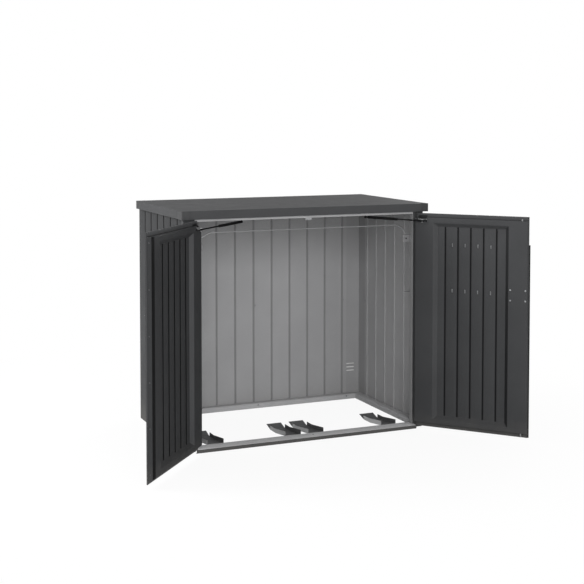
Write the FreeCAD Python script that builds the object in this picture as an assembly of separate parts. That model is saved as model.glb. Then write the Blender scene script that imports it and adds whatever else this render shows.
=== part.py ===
import FreeCAD, Part
import math
import os

V = FreeCAD.Vector

# A steel store for two wheeled bins. Millimetres. Z is up from the ground, the front posts
# stand at y = 0 and everything is moved back at the end so that the plan centre is the origin.

# Sheets, seams and clearances
PITCH = 118.0            # distance between the pressed grooves of the walls
HALF_BAYS = 6            # bays from the middle of the back wall to a side
BAYS_DEEP = 6
FRONT_BAY = 100.0        # from the post front to the first side groove
SHEET = 1.0
FRAME_SHEET = 1.5
GROOVE_MOUTH = 8.0
GROOVE_FLOOR = 3.0
GROOVE_DEPTH = 3.0
LAP = 30.0               # tongue that slips behind the next sheet
REST = 0.3               # gap between parts that touch
RUN = 0.08               # radial gap of a turning or sliding fit
HOLE = 0.4               # radial gap of a screw hole
WALL_BOTTOM = 1.0

# Body
BODY_W = 2 * HALF_BAYS * PITCH
BODY_D = FRONT_BAY + BAYS_DEEP * PITCH
HALF_W = BODY_W / 2

# Roof
ROOF_TOP = 1270.0
FASCIA = 45.0
OVER_SIDE = 17.0
OVER_FRONT = 31.0
OVER_REAR = 5.0
HEM = 12.0
CAP_SHEET = 2.0
CAP_FRONT = 42.0
CAP_REAR = 52.0
CAP_SIDE = 75.0
SEAM = 0.5
FRAME_TOP = ROOF_TOP - SHEET - REST
WALL_TOP = FRAME_TOP - 3.0

# Frame
POST_W = 63.5
POST_IN = HALF_W - POST_W
POST_D = 37.0
POST_LIP = 18.0
HEADER_D = 50.0
HEADER_H = 57.7
HEADER_BOTTOM = FRAME_TOP - HEADER_H
SILL_FRONT = -40.0
SILL_BACK = 44.0
SILL_H = 20.0
SILL_TUCK = 7.5          # length of the sill that runs in front of each post
SILL_HALF = POST_IN + SILL_TUCK
SILL_LIP = 12.0
RAIL_OUT = GROOVE_DEPTH + SHEET + REST
RAIL_W = 43.7
RAIL_IN = HALF_W - RAIL_OUT - RAIL_W
RAIL_H = 30.0
RAIL_BEVEL = 6.0
REAR_RAIL_W = 45.7
REAR_RAIL_FRONT = BODY_D - RAIL_OUT - REAR_RAIL_W
TOP_RAIL_H = 44.0
TOP_RAIL_W = 40.0
STIFFENER_X = BODY_W / 6
STIFFENER_W = 36.0
STIFFENER_H = 28.0
STIFFENER_LIP = 17.0
ANCHOR_EDGE = 26.0       # anchor centre from the outside of the wall
ANCHOR_X = BODY_W - 2 * ANCHOR_EDGE
ANCHOR_Y = 560.0
ANCHOR_R = 4.5

# Vents and wall screws
VENT_EDGE = 85.0         # from the side wall to the inner end of the vents
VENT_X = HALF_W - VENT_EDGE
VENT_W = 50.0
VENT_H = 6.0
VENT_Z = (169.0, 190.5, 212.0)
SCREW_Z = 616.0
SCREW_BACK = 10.0        # screw centre past a back groove
SCREW_SIDE = 21.0        # screw centre past the side groove
SCREW_R = 2.0
SCREW_HEAD_R = 5.0
SCREW_HEAD_H = 1.8
RAIL_SCREW_Z = 20.0

# Doors. d runs from the hinge line along the leaf, n from the outside to the inside.
OPEN_ANGLE = 130.6
HINGE_SIDE = 8.4         # hinge line past the doorway edge of the post
HINGE_X = POST_IN + HINGE_SIDE
HINGE_Y = -20.1
DOOR_EDGE = 11.4
MEETING_GAP = 2.0        # from the end of each leaf to the middle of the doorway
DOOR_END = HINGE_X - MEETING_GAP
SKIN_DEPTH = 7.0
DOOR_INSIDE = 19.1
DOOR_OUTSIDE = DOOR_INSIDE - SKIN_DEPTH
OVER_SILL = 2.2
UNDER_ROOF = 5.2
DOOR_BOTTOM = SILL_H + OVER_SILL
DOOR_TOP = ROOF_TOP - FASCIA - UNDER_ROOF
BAND = 20.0              # folded edge of the outer skin
SIDE_BAND = 6.0
LINER_STEP = 1.5         # liner set back from the end of the skin
LINER_FOOT = 25.0
LINER_HEAD = 21.1
LINER_H = 23.7
LINER_END = DOOR_END - LINER_STEP
LINER_BOTTOM = DOOR_BOTTOM + LINER_FOOT
LINER_TOP = DOOR_TOP - LINER_HEAD
LINER_FACE = DOOR_INSIDE + LINER_H
RECESS_DEPTH = 19.0
RIM_HINGE = 105.5        # plain rim of the liner around its recess, on its four sides
RIM_END = 104.0
RIM_FOOT = 25.8
RIM_HEAD = 29.7
RECESS_D0 = DOOR_EDGE + RIM_HINGE
RECESS_D1 = LINER_END - RIM_END
RECESS_Z0 = LINER_BOTTOM + RIM_FOOT
RECESS_Z1 = LINER_TOP - RIM_HEAD
BEVEL_D = 20.5
BEVEL_Z = 20.0
LINER_GROOVE_IN = 65.1   # first groove past the edge of the recess
LINER_GROOVE_0 = RECESS_D0 + LINER_GROOVE_IN
LINER_GROOVE_PITCH = 73.0
LINER_GROOVES = 5
LINER_GROOVE_W = 8.0
LINER_GROOVE_DEPTH = 4.0
NOTCH_W = 68.6
NOTCH_H = 25.7
NOTCH_D = DOOR_EDGE + NOTCH_W
NOTCH_Z = LINER_TOP - NOTCH_H

# Hook slots and their rails in the right door
SLOT_IN = 39.5           # first slot past the first groove
SLOT_0 = LINER_GROOVE_0 + SLOT_IN
SLOT_W = 8.0
SLOT_H = 21.0
SLOT_DOWN = 149.7        # upper row of slots from the top of the liner
SLOT_STEP = 253.0
SLOT_Z = (LINER_TOP - SLOT_DOWN - SLOT_STEP, LINER_TOP - SLOT_DOWN)
HOOK_RAIL_H = 40.0
HOOK_RAIL_PAST = 10.0    # hook rail past the first groove
HOOK_RAIL_L = 311.0
HOOK_RAIL_D0 = LINER_GROOVE_0 - HOOK_RAIL_PAST
HOOK_RAIL_D1 = HOOK_RAIL_D0 + HOOK_RAIL_L

# Lock
LOCK_IN = 51.6           # spindle from the end of the liner
LOCK_DOWN = 403.7        # spindle from the top of the liner
LOCK_D = LINER_END - LOCK_IN
LOCK_Z = LINER_TOP - LOCK_DOWN
LOCK_SCREW_D = 83.0
LOCK_SCREW_Z = 56.0
LOCK_SCREW_R = 2.5
LOCK_HEAD_R = 5.5
LOCK_HEAD_H = 1.5
SPINDLE_R = 8.0
DISC_R = 17.0
DISC_N = 30.0
DISC_T = 2.0
PIN_CIRCLE = 13.0
PIN_R = 2.5
PIN_SLACK = 0.6
ROD_PAST_LOCK = 19.5
ROD_D = LOCK_D + ROD_PAST_LOCK
ROD_N = 31.0
ROD_R = 4.0
TOP_ROD_GAP = 3.0
BOTTOM_ROD_GAP = 6.0
TOP_ROD_TOP = HEADER_BOTTOM - TOP_ROD_GAP
BOTTOM_ROD_BOTTOM = SILL_H + BOTTOM_ROD_GAP
LUG_T = 1.5
GUIDE_LOW = 72.8         # lowest guide above the foot of the liner
GUIDE_UNDER = 195.0      # guides below and above the lock
GUIDE_OVER = 165.0
GUIDE_HIGH = 48.7        # highest guide below the top of the liner
GUIDE_Z = (LINER_BOTTOM + GUIDE_LOW, LOCK_Z - GUIDE_UNDER, LOCK_Z + GUIDE_OVER, LINER_TOP - GUIDE_HIGH)
GUIDE_H = 20.0
GUIDE_W = 20.0
HANDLE_PLATE_W = 60.0
HANDLE_PLATE_H = 140.0
HANDLE_PLATE_T = 4.0
LEVER_L = 115.0
LEVER_W = 22.0
LEVER_T = 8.0
LEVER_STAND = 7.0
HUB_R = 14.0

# Overlap strip, rubber strip and rivets
STRIP_ON = 20.0          # width of the strip that lies on its own leaf
STRIP_OUT = 6.0          # width that reaches over the other leaf
STRIP_D0 = DOOR_END - STRIP_ON
STRIP_D1 = DOOR_END + STRIP_OUT
STRIP_T = 1.5
STRIP_DOWN = 151.8
STRIP_TOP = DOOR_TOP - STRIP_DOWN
RUBBER_W = 32.0
RUBBER_IN = 3.0
RUBBER_D1 = LINER_END - RUBBER_IN
RUBBER_D0 = RUBBER_D1 - RUBBER_W
RUBBER_T = 1.5
RIVETS = 6
RIVET_UP = 23.1
RIVET_DOWN = 28.9
RIVET_Z0 = LINER_BOTTOM + RIVET_UP
RIVET_PITCH = (LINER_TOP - RIVET_DOWN - RIVET_Z0) / (RIVETS - 1)
RIVET_HEAD_R = 4.0
RIVET_HEAD_H = 1.2
RIVET_R = 1.8

# Hinges
HINGE_H = 36.0
HINGE_UP = 52.8
HINGE_DOWN = 69.3
HINGE_Z = (DOOR_BOTTOM + HINGE_UP, DOOR_TOP - HINGE_DOWN)
KNUCKLE_R = 5.5
PIN_HINGE_R = 2.5
LEAF_T = 2.0
LEAF_REACH = 42.0
MOVING_LEAF_N = 36.0

# Gas struts
STRUT_HEAD_IN = 276.5    # head from the doorway edge of the post
STRUT_HEAD_X = POST_IN - STRUT_HEAD_IN
STRUT_HEAD_Y = 42.0
STRUT_DROP = 12.0        # middle of the head under the header
STRUT_FALL = 19.0        # from the head down to the ball on the door
STRUT_HEAD_Z = HEADER_BOTTOM - STRUT_DROP
STRUT_DOOR_IN = 46.0
STRUT_DOOR_OFF = 15.0    # ball in front of the liner
STRUT_DOOR_D = DOOR_EDGE + STRUT_DOOR_IN
STRUT_DOOR_N = LINER_FACE + STRUT_DOOR_OFF
STRUT_DOOR_Z = STRUT_HEAD_Z - STRUT_FALL
CYLINDER_R = 7.5
CYLINDER_BORE = 6.0
CYLINDER_L = 178.0
CYLINDER_CAP = 30.0      # solid end of the cylinder at the head
GLAND = 10.0
STRUT_ROD_R = 4.0
PISTON_AT = 138.0
PISTON_T = 8.0
SOCKET_R = 6.0
SOCKET_H = 11.0
STUD_R = 3.0
BRACKET_T = 2.0
BRACKET_D0 = 26.0
BRACKET_D1 = 75.0
BRACKET_ROOT = 22.0
BRACKET_DROP = 1.5       # bracket below the header's level
HEAD_BRACKET_W = 40.0
HEAD_BRACKET_D = 23.0

# Lid bail and its clips
BAIL_R = 3.0
BAIL_Y = 31.0
BAIL_IN = 39.5           # leg of the bail from the doorway edge of the post
BAIL_BEND_X = 54.0
BAIL_BEND_Z = 28.5
BAIL_DOWN = 62.0         # bar of the bail under the header
BAIL_LEG_L = 379.0
BAIL_TOP_Z = HEADER_BOTTOM - BAIL_DOWN
BAIL_PIVOT_Z = BAIL_TOP_Z - BAIL_LEG_L
BAIL_LEG_X = POST_IN - BAIL_IN
BAIL_SHOULDER_Z = BAIL_TOP_Z - BAIL_BEND_Z
BAIL_BAR_X = BAIL_LEG_X - BAIL_BEND_X
BAIL_STUB = 7.0
CLIP_PAST = 11.0         # clip and its hole on the two sides of the leg
CLIP_DOWN = 29.5
CLIP_H = 39.0
CLIP_X = BAIL_LEG_X - CLIP_PAST
CLIP_HOLE_X = BAIL_LEG_X + CLIP_PAST
CLIP_Z1 = BAIL_SHOULDER_Z - CLIP_DOWN
CLIP_Z0 = CLIP_Z1 - CLIP_H
CLIP_T = 1.8

# Keeper at the middle of the header
KEEPER_X0 = -15.0
KEEPER_X1 = 22.0
KEEPER_Y0 = 1.2
KEEPER_Y1 = 27.0
KEEPER_H = 11.5
KEEPER_BOTTOM = HEADER_BOTTOM - KEEPER_H

# Wheel cradles
CRADLE_INNER = 68.0
CRADLE_OUTER = 518.0
CRADLE_X = (-CRADLE_OUTER, -CRADLE_INNER, CRADLE_INNER, CRADLE_OUTER)
CRADLE_W = 92.0
CRADLE_T = 2.0
RAMP_TOP_Z = 17.0
RAMP_END_Y = 182.0
CRADLE_FLAT_Y = 270.0
CRADLE_END_Y = 325.0
CRADLE_LIP_Z = 16.0
WEB_FRONT_Z = 42.0
WEB_KNEE_Y = 202.0
WEB_Z = 22.0
WEB_END_Y = 266.0


def slab(x0, x1, y0, y1, z0, z1):
    """A box given by its two corners, in any order."""
    low = V(min(x0, x1), min(y0, y1), min(z0, z1))
    return Part.makeBox(abs(x1 - x0), abs(y1 - y0), abs(z1 - z0), low)


def prism(points, axis, start, end):
    """A closed outline drawn in the plane across an axis and pulled along it."""
    place = {"x": lambda a, b: V(start, a, b),
             "y": lambda a, b: V(a, start, b),
             "z": lambda a, b: V(a, b, start)}[axis]
    pull = {"x": V(end - start, 0, 0), "y": V(0, end - start, 0), "z": V(0, 0, end - start)}[axis]
    ring = [place(a, b) for a, b in points]
    return Part.Face(Part.makePolygon(ring + ring[:1])).extrude(pull)


def rod(start, end, radius):
    """A round bar between two points."""
    line = end - start
    return Part.makeCylinder(radius, line.Length, start, line)


def disc(x, y, z0, z1, radius):
    """An upright cylinder."""
    return Part.makeCylinder(radius, z1 - z0, V(x, y, z0))


def side_normals(points, closed):
    """Left-hand unit normals of the segments of a path."""
    count = len(points) if closed else len(points) - 1
    normals = []
    for i in range(count):
        (ax, ay), (bx, by) = points[i], points[(i + 1) % len(points)]
        length = math.hypot(bx - ax, by - ay)
        normals.append(((ay - by) / length, (bx - ax) / length))
    return normals


def moved_path(points, distance, closed=False):
    """The path moved sideways to its left, with square corners kept."""
    normals = side_normals(points, closed)
    moved = []
    for i, (x, y) in enumerate(points):
        first = normals[i - 1] if closed or i > 0 else normals[0]
        second = normals[i] if closed or i < len(normals) else normals[-1]
        share = distance / (1 + first[0] * second[0] + first[1] * second[1])
        moved.append((x + share * (first[0] + second[0]), y + share * (first[1] + second[1])))
    return moved


def folded(points, thickness):
    """The outline of a folded sheet whose outer face follows the path."""
    return points + moved_path(points, thickness)[::-1]


def groove(centre):
    """Path points of one pressed groove: distance along the sheet and depth."""
    wide, narrow = GROOVE_MOUTH / 2, GROOVE_FLOOR / 2
    return [(centre - wide, 0), (centre - narrow, GROOVE_DEPTH),
            (centre + narrow, GROOVE_DEPTH), (centre + wide, 0)]


def tongue(centre, direction):
    """Path points of a groove that ends in a tongue slipped behind the next sheet."""
    wide, narrow, back = GROOVE_MOUTH / 2, GROOVE_FLOOR / 2, SHEET + REST
    points = [(-wide, 0), (-narrow, GROOVE_DEPTH), (narrow, GROOVE_DEPTH), (wide, back), (LAP, back)]
    return [(centre + direction * s, depth) for s, depth in points][::direction]


def mirrored(shape):
    """The same piece for the other side of the store."""
    return shape.mirror(V(0, 0, 0), V(1, 0, 0))


def joined(shapes):
    """One solid from pieces that meet."""
    result = shapes[0].fuse(shapes[1:]) if len(shapes) > 1 else shapes[0]
    return result.removeSplitter()


def export(name, shapes):
    """Write one node, moved so that the plan centre of the body is the origin."""
    pieces = shapes if isinstance(shapes, list) else [shapes]
    solids = [solid for piece in pieces for solid in piece.Solids]
    whole = solids[0] if len(solids) == 1 else Part.makeCompound(solids)
    whole = whole.copy()
    whole.translate(V(0, -BODY_D / 2, 0))
    whole.exportStep("parts/" + name + ".step")


def wall_panels():
    """Side, back and corner sheets with their vents and screw holes."""
    back = lambda points: [(s, BODY_D - depth) for s, depth in points]
    side = lambda points: [(HALF_W - depth, s) for s, depth in points]
    last = FRONT_BAY + (BAYS_DEEP - 1) * PITCH
    edge = (HALF_BAYS - 1) * PITCH

    front = POST_D + REST
    path = [(front, HEM), (front, 0)]
    for k in range(BAYS_DEEP - 1):
        path += groove(FRONT_BAY + k * PITCH)
    right_side = prism(folded(side(path + tongue(last, 1)), SHEET), "z", WALL_BOTTOM, WALL_TOP)

    path = tongue(-edge, -1)
    for k in range(1, HALF_BAYS - 1):
        path += groove(-edge + k * PITCH)
    left_back = prism(folded(back(path + tongue(0, 1)), -SHEET), "z", WALL_BOTTOM, WALL_TOP)

    start = GROOVE_MOUTH / 2 + REST
    path = [(start, 0)]
    for k in range(1, HALF_BAYS - 1):
        path += groove(k * PITCH)
    right_back = prism(folded(back(path + tongue(edge, 1)), -SHEET), "z", WALL_BOTTOM, WALL_TOP)

    path = [(HALF_W, last + start), (HALF_W, BODY_D), (edge + start, BODY_D)]
    corner = prism(folded(path, SHEET), "z", WALL_BOTTOM, WALL_TOP)
    for z in VENT_Z:
        slot = slab(VENT_X, VENT_X + VENT_W, BODY_D - 5, BODY_D + 5, z - VENT_H / 2, z + VENT_H / 2)
        corner = corner.cut(slot)

    hole = SCREW_R + HOLE
    at_side = rod(V(HALF_W - 10, last + SCREW_SIDE, SCREW_Z),
                  V(HALF_W + 5, last + SCREW_SIDE, SCREW_Z), hole)
    at_back = rod(V(edge + SCREW_BACK, BODY_D - 10, SCREW_Z),
                  V(edge + SCREW_BACK, BODY_D + 5, SCREW_Z), hole)
    middle = rod(V(SCREW_BACK, BODY_D - 10, SCREW_Z), V(SCREW_BACK, BODY_D + 5, SCREW_Z), hole)
    right_side = right_side.cut(at_side)
    corner = corner.cut(at_side).cut(at_back)
    left_back = left_back.cut(middle).cut(mirrored(at_back))
    right_back = right_back.cut(middle).cut(at_back)
    export("right_side_panel", right_side)
    export("left_side_panel", mirrored(right_side))
    export("right_corner_panel", corner)
    export("left_corner_panel", mirrored(corner))
    export("left_back_panel", left_back)
    export("right_back_panel", right_back)


def pan_screw(seat, axis, reach):
    """A dome-headed screw. The seat is the surface under its head, the axis points to the head."""
    top = seat + axis * (REST + SCREW_HEAD_H)
    head = Part.makeCone(SCREW_HEAD_R, SCREW_HEAD_R * 0.6, SCREW_HEAD_H, seat + axis * REST, axis)
    return joined([head, rod(seat - axis * reach, top - axis * 0.5, SCREW_R)])


def screws():
    """The screws of the wall laps and of the rear floor rail."""
    last = FRONT_BAY + (BAYS_DEEP - 1) * PITCH
    edge = (HALF_BAYS - 1) * PITCH
    inner = 2 * SHEET + REST
    reach = inner + 1.5
    right = [pan_screw(V(HALF_W - inner, last + SCREW_SIDE, SCREW_Z), V(-1, 0, 0), reach),
             pan_screw(V(edge + SCREW_BACK, BODY_D - inner, SCREW_Z), V(0, -1, 0), reach)]
    middle = [pan_screw(V(SCREW_BACK, BODY_D - inner, SCREW_Z), V(0, -1, 0), reach)]
    rail = [pan_screw(V(x, REAR_RAIL_FRONT, RAIL_SCREW_Z), V(0, -1, 0), FRAME_SHEET + 6)
            for x in rail_screw_places()]
    export("panel_screws", right + [mirrored(s) for s in right] + middle + rail)


def rail_screw_places():
    """Where the rear floor rail is screwed down the middle of its front face."""
    edge = (HALF_BAYS - 1) * PITCH
    return [SCREW_BACK, edge + SCREW_BACK, -edge - SCREW_BACK]


def hollow(points, thickness, axis, start, end):
    """A closed hollow section; the outline runs clockwise so that its right side is inside."""
    inner = moved_path(points, -thickness, closed=True)
    return prism(points, axis, start, end).cut(prism(inner, axis, start, end))


def frame():
    """Posts, sill, header and rails."""
    path = [(POST_IN + POST_LIP, POST_D), (POST_IN, POST_D), (POST_IN, 0), (HALF_W, 0),
            (HALF_W, POST_D), (HALF_W - POST_LIP, POST_D)]
    post = prism(folded(path, FRAME_SHEET), "z", 0, WALL_TOP)
    pivot = V(POST_IN - 5, BAIL_Y, BAIL_PIVOT_Z)
    post = post.cut(rod(pivot, pivot + V(10, 0, 0), BAIL_R + RUN))
    export("right_front_post", post)
    export("left_front_post", mirrored(post))

    bolt_x = HINGE_X - ROD_D
    bolt_y = HINGE_Y + ROD_N
    bolt_hole = ROD_R + HOLE + 0.6
    path = [(SILL_FRONT + SILL_LIP, 0), (SILL_FRONT, 0), (SILL_FRONT, SILL_H), (SILL_BACK, SILL_H),
            (SILL_BACK, 0), (SILL_BACK - SILL_LIP, 0)]
    sill = prism(folded(path, -FRAME_SHEET), "x", -SILL_HALF, SILL_HALF)
    sill = sill.cut(disc(bolt_x, bolt_y, 1, SILL_H + 1, bolt_hole))
    for side in (-1, 1):
        foot = slab(side * (POST_IN - REST), side * (SILL_HALF + 1), -REST, SILL_BACK + 1, -1, SILL_H + 1)
        sill = sill.cut(foot)
    export("front_sill", sill)

    lip = HEM
    path = [(lip, FRAME_TOP), (0, FRAME_TOP), (0, HEADER_BOTTOM), (HEADER_D, HEADER_BOTTOM),
            (HEADER_D, FRAME_TOP), (HEADER_D - lip, FRAME_TOP)]
    header = prism(folded(path, FRAME_SHEET), "x", -POST_IN + REST, POST_IN - REST)
    header = header.cut(disc(bolt_x, bolt_y, HEADER_BOTTOM - 1, HEADER_BOTTOM + 5, bolt_hole))
    export("header_rail", header)

    out = HALF_W - RAIL_OUT
    path = [(RAIL_IN, 0), (RAIL_IN, RAIL_H - RAIL_BEVEL), (RAIL_IN + RAIL_BEVEL, RAIL_H),
            (out, RAIL_H), (out, 0)]
    behind_flange = POST_D + REST + SHEET + REST
    rail = hollow(path, FRAME_SHEET, "y", behind_flange, REAR_RAIL_FRONT - REST)
    for y in (BODY_D / 2 - ANCHOR_Y / 2, BODY_D / 2 + ANCHOR_Y / 2):
        rail = rail.cut(disc(ANCHOR_X / 2, y, -1, RAIL_H + 1, ANCHOR_R))
    export("right_floor_rail", rail)
    export("left_floor_rail", mirrored(rail))

    rear = BODY_D - RAIL_OUT
    path = [(REAR_RAIL_FRONT, 0), (REAR_RAIL_FRONT, RAIL_H - RAIL_BEVEL),
            (REAR_RAIL_FRONT + RAIL_BEVEL, RAIL_H), (rear, RAIL_H), (rear, 0)]
    rail = hollow(path, FRAME_SHEET, "x", -out, out)
    for x in rail_screw_places():
        start = V(x, REAR_RAIL_FRONT - 5, RAIL_SCREW_Z)
        rail = rail.cut(rod(start, start + V(0, 8, 0), SCREW_R + HOLE))
    export("rear_floor_rail", rail)

    low = FRAME_TOP - TOP_RAIL_H
    path = [(out - TOP_RAIL_W, low), (out - TOP_RAIL_W, FRAME_TOP), (out, FRAME_TOP), (out, low)]
    rail = hollow(path, FRAME_SHEET, "y", HEADER_D + REST, rear - TOP_RAIL_W - REST)
    export("right_top_rail", rail)
    export("left_top_rail", mirrored(rail))
    path = [(rear - TOP_RAIL_W, low), (rear - TOP_RAIL_W, FRAME_TOP), (rear, FRAME_TOP), (rear, low)]
    export("rear_top_rail", hollow(path, FRAME_SHEET, "x", -out, out))

    half = STIFFENER_W / 2
    path = [(-half - STIFFENER_LIP, FRAME_TOP), (-half, FRAME_TOP), (-half, FRAME_TOP - STIFFENER_H),
            (half, FRAME_TOP - STIFFENER_H), (half, FRAME_TOP), (half + STIFFENER_LIP, FRAME_TOP)]
    hat = prism(folded(path, -FRAME_SHEET), "y", HEADER_D + REST, rear - TOP_RAIL_W - REST)
    pair = [hat.copy(), hat.copy()]
    pair[0].translate(V(-STIFFENER_X, 0, 0))
    pair[1].translate(V(STIFFENER_X, 0, 0))
    export("roof_stiffeners", pair)


def roof_tray(sheet, top):
    """An upside-down tray with a hem along its lower edge."""
    low = ROOF_TOP - FASCIA
    x, y0, y1 = HALF_W + OVER_SIDE, -OVER_FRONT, BODY_D + OVER_REAR
    rear_hem = min(HEM, OVER_REAR - 1.5)
    tray = slab(-x, x, y0, y1, low, top)
    tray = tray.cut(slab(-x + sheet, x - sheet, y0 + sheet, y1 - sheet, low + sheet, ROOF_TOP - SHEET))
    return tray.cut(slab(-x + HEM, x - HEM, y0 + HEM, y1 - rear_hem, low - 1, low + sheet + 1))


def roof():
    """The roof sheet with its folded fascia, and the four corner caps set into it."""
    x, y0, y1 = HALF_W + OVER_SIDE, -OVER_FRONT, BODY_D + OVER_REAR
    low, high = ROOF_TOP - FASCIA, ROOF_TOP - SHEET - REST
    panel = roof_tray(SHEET, ROOF_TOP)
    cap_tray = roof_tray(CAP_SHEET, high)
    corners = (("roof_front_caps", x - CAP_FRONT, y0 - 1, y0 + CAP_SIDE),
               ("roof_rear_caps", x - CAP_REAR, y1 - CAP_SIDE, y1 + 1))
    for name, start, near, far in corners:
        inner = (near if near < y0 else near + SEAM, far - SEAM if near < y0 else far)
        cap = cap_tray.common(slab(start + SEAM, x + 1, inner[0], inner[1], low - 1, high))
        cut = slab(start, x + 1, near, far, low - 1, ROOF_TOP - SHEET)
        panel = panel.cut(cut).cut(mirrored(cut))
        export(name, [cap, mirrored(cap)])
    export("roof_panel", panel)


def hung(shape):
    """A left door piece, drawn with d along X and n along Y, put in its open place."""
    placed = shape.copy()
    placed.rotate(V(0, 0, 0), V(0, 0, 1), -OPEN_ANGLE)
    placed.translate(V(-HINGE_X, HINGE_Y, 0))
    return placed


def door_skin():
    """The outer skin: a shallow tray with pressed grooves and a folded edge all round."""
    path = [(DOOR_END - SIDE_BAND, DOOR_INSIDE), (DOOR_END, DOOR_INSIDE), (DOOR_END, DOOR_OUTSIDE)]
    for k in range(1, HALF_BAYS):
        centre = HINGE_X - k * PITCH
        path += [(s, DOOR_OUTSIDE + depth) for s, depth in groove(centre)[::-1]]
    path += [(DOOR_EDGE, DOOR_OUTSIDE), (DOOR_EDGE, DOOR_INSIDE), (DOOR_EDGE + SIDE_BAND, DOOR_INSIDE)]
    pieces = [prism(folded(path, -SHEET), "z", DOOR_BOTTOM, DOOR_TOP)]
    for low, high in ((DOOR_BOTTOM, DOOR_BOTTOM + SHEET), (DOOR_TOP - SHEET, DOOR_TOP)):
        pieces.append(prism(path, "z", low, high))
    for low, high in ((DOOR_BOTTOM, DOOR_BOTTOM + BAND), (DOOR_TOP - BAND, DOOR_TOP)):
        pieces.append(slab(DOOR_EDGE, DOOR_END, DOOR_INSIDE - SHEET, DOOR_INSIDE, low, high))
    return joined(pieces)


def frustum(d0, d1, z0, z1, n, slope_d, slope_z, depth):
    """The recess of the liner: a rectangle at n that narrows on its way down."""
    rings = []
    for k in (0, 1):
        a, b, c = k * slope_d, k * slope_z, n - k * depth
        ring = [V(d0 + a, c, z0 + b), V(d1 - a, c, z0 + b), V(d1 - a, c, z1 - b), V(d0 + a, c, z1 - b)]
        rings.append(Part.makePolygon(ring + ring[:1]))
    return Part.makeLoft(rings, True, True)


def door_liner():
    """The inner liner: a raised tray with a recessed, grooved field and a notch for the strut."""
    back = DOOR_INSIDE + REST
    outer = slab(DOOR_EDGE, LINER_END, back, LINER_FACE, LINER_BOTTOM, LINER_TOP)
    inner = slab(DOOR_EDGE + SHEET, LINER_END - SHEET, back - 1, LINER_FACE - SHEET,
                 LINER_BOTTOM + SHEET, LINER_TOP - SHEET)
    notch = slab(0, NOTCH_D, 0, LINER_FACE + 1, NOTCH_Z, LINER_TOP + 1)
    outer = outer.cut(notch)
    inner = inner.cut(slab(0, NOTCH_D + SHEET, 0, LINER_FACE + 1, NOTCH_Z - SHEET, LINER_TOP + 1))
    recess = frustum(RECESS_D0, RECESS_D1, RECESS_Z0, RECESS_Z1, LINER_FACE, BEVEL_D, BEVEL_Z,
                     RECESS_DEPTH)
    # the same recess grown by the sheet thickness, measured square to its sloping sides
    grow_d = SHEET * (math.hypot(BEVEL_D, RECESS_DEPTH) - BEVEL_D) / RECESS_DEPTH
    grow_z = SHEET * (math.hypot(BEVEL_Z, RECESS_DEPTH) - BEVEL_Z) / RECESS_DEPTH
    share_d = SHEET * BEVEL_D / RECESS_DEPTH
    share_z = SHEET * BEVEL_Z / RECESS_DEPTH
    behind = frustum(RECESS_D0 - grow_d - share_d, RECESS_D1 + grow_d + share_d,
                     RECESS_Z0 - grow_z - share_z, RECESS_Z1 + grow_z + share_z,
                     LINER_FACE, BEVEL_D + share_d, BEVEL_Z + share_z, RECESS_DEPTH + SHEET)
    floor = LINER_FACE - RECESS_DEPTH
    z0, z1 = RECESS_Z0 + BEVEL_Z, RECESS_Z1 - BEVEL_Z
    for k in range(LINER_GROOVES):
        d = LINER_GROOVE_0 + k * LINER_GROOVE_PITCH
        half = LINER_GROOVE_W / 2
        narrow = half - 1.5
        cut = [(d - half, floor + 0.01), (d - narrow, floor - LINER_GROOVE_DEPTH),
               (d + narrow, floor - LINER_GROOVE_DEPTH), (d + half, floor + 0.01)]
        recess = recess.fuse(prism(cut, "z", z0, z1))
        wall = [(d - half - SHEET, floor), (d - narrow - SHEET, floor - LINER_GROOVE_DEPTH - SHEET),
                (d + narrow + SHEET, floor - LINER_GROOVE_DEPTH - SHEET), (d + half + SHEET, floor)]
        behind = behind.fuse(prism(wall, "z", z0 - SHEET, z1 + SHEET))
    return outer.cut(inner.cut(behind)).cut(recess).removeSplitter()


def hinge_leaves():
    """Left side leaves and pins, given as fixed leaves, moving leaves and pins."""
    fixed, moving, pins = [], [], []
    x, y = -HINGE_X, HINGE_Y
    bore = PIN_HINGE_R + 0.05
    for z0 in HINGE_Z:
        z1 = z0 + HINGE_H
        m0, m1 = z0 + HINGE_H / 3, z1 - HINGE_H / 3
        outer = x - KNUCKLE_R
        plate = slab(outer - LEAF_REACH, outer + LEAF_T, -REST - LEAF_T, -REST, z0, z1)
        web = slab(outer, outer + LEAF_T, y, -REST, z0, z1)
        knuckle = disc(x, y, z0, z1, KNUCKLE_R)
        leaf = joined([plate, web, knuckle])
        window = slab(outer - 1, x + KNUCKLE_R + 1, y - KNUCKLE_R - 1, y + 10, m0 - REST, m1 + REST)
        leaf = leaf.cut(window).cut(disc(x, y, z0 - 1, z1 + 1, bore))
        fixed.append(leaf)

        knuckle = disc(0, 0, m0, m1, KNUCKLE_R)
        web = slab(0, DOOR_EDGE - REST, KNUCKLE_R - LEAF_T, KNUCKLE_R, m0, m1)
        # the wide part lies along the liner and stops below its notch
        outer, inner = DOOR_EDGE - REST - LEAF_T, DOOR_EDGE - REST
        plate = slab(outer, inner, KNUCKLE_R - LEAF_T, DOOR_INSIDE, z0, z1)
        wing = slab(outer, inner, DOOR_INSIDE - 1, MOVING_LEAF_N, z0, min(z1, NOTCH_Z))
        leaf = joined([knuckle, web, plate, wing]).cut(disc(0, 0, z0 - 1, z1 + 1, bore))
        moving.append(hung(leaf))

        pin = disc(x, y, z0 - 2, z1 + REST + 0.2, PIN_HINGE_R)
        head = disc(x, y, z1 + REST, z1 + REST + 1.5, PIN_HINGE_R + 1.5)
        pins.append(joined([pin, head]))
    return fixed, moving, pins


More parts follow.
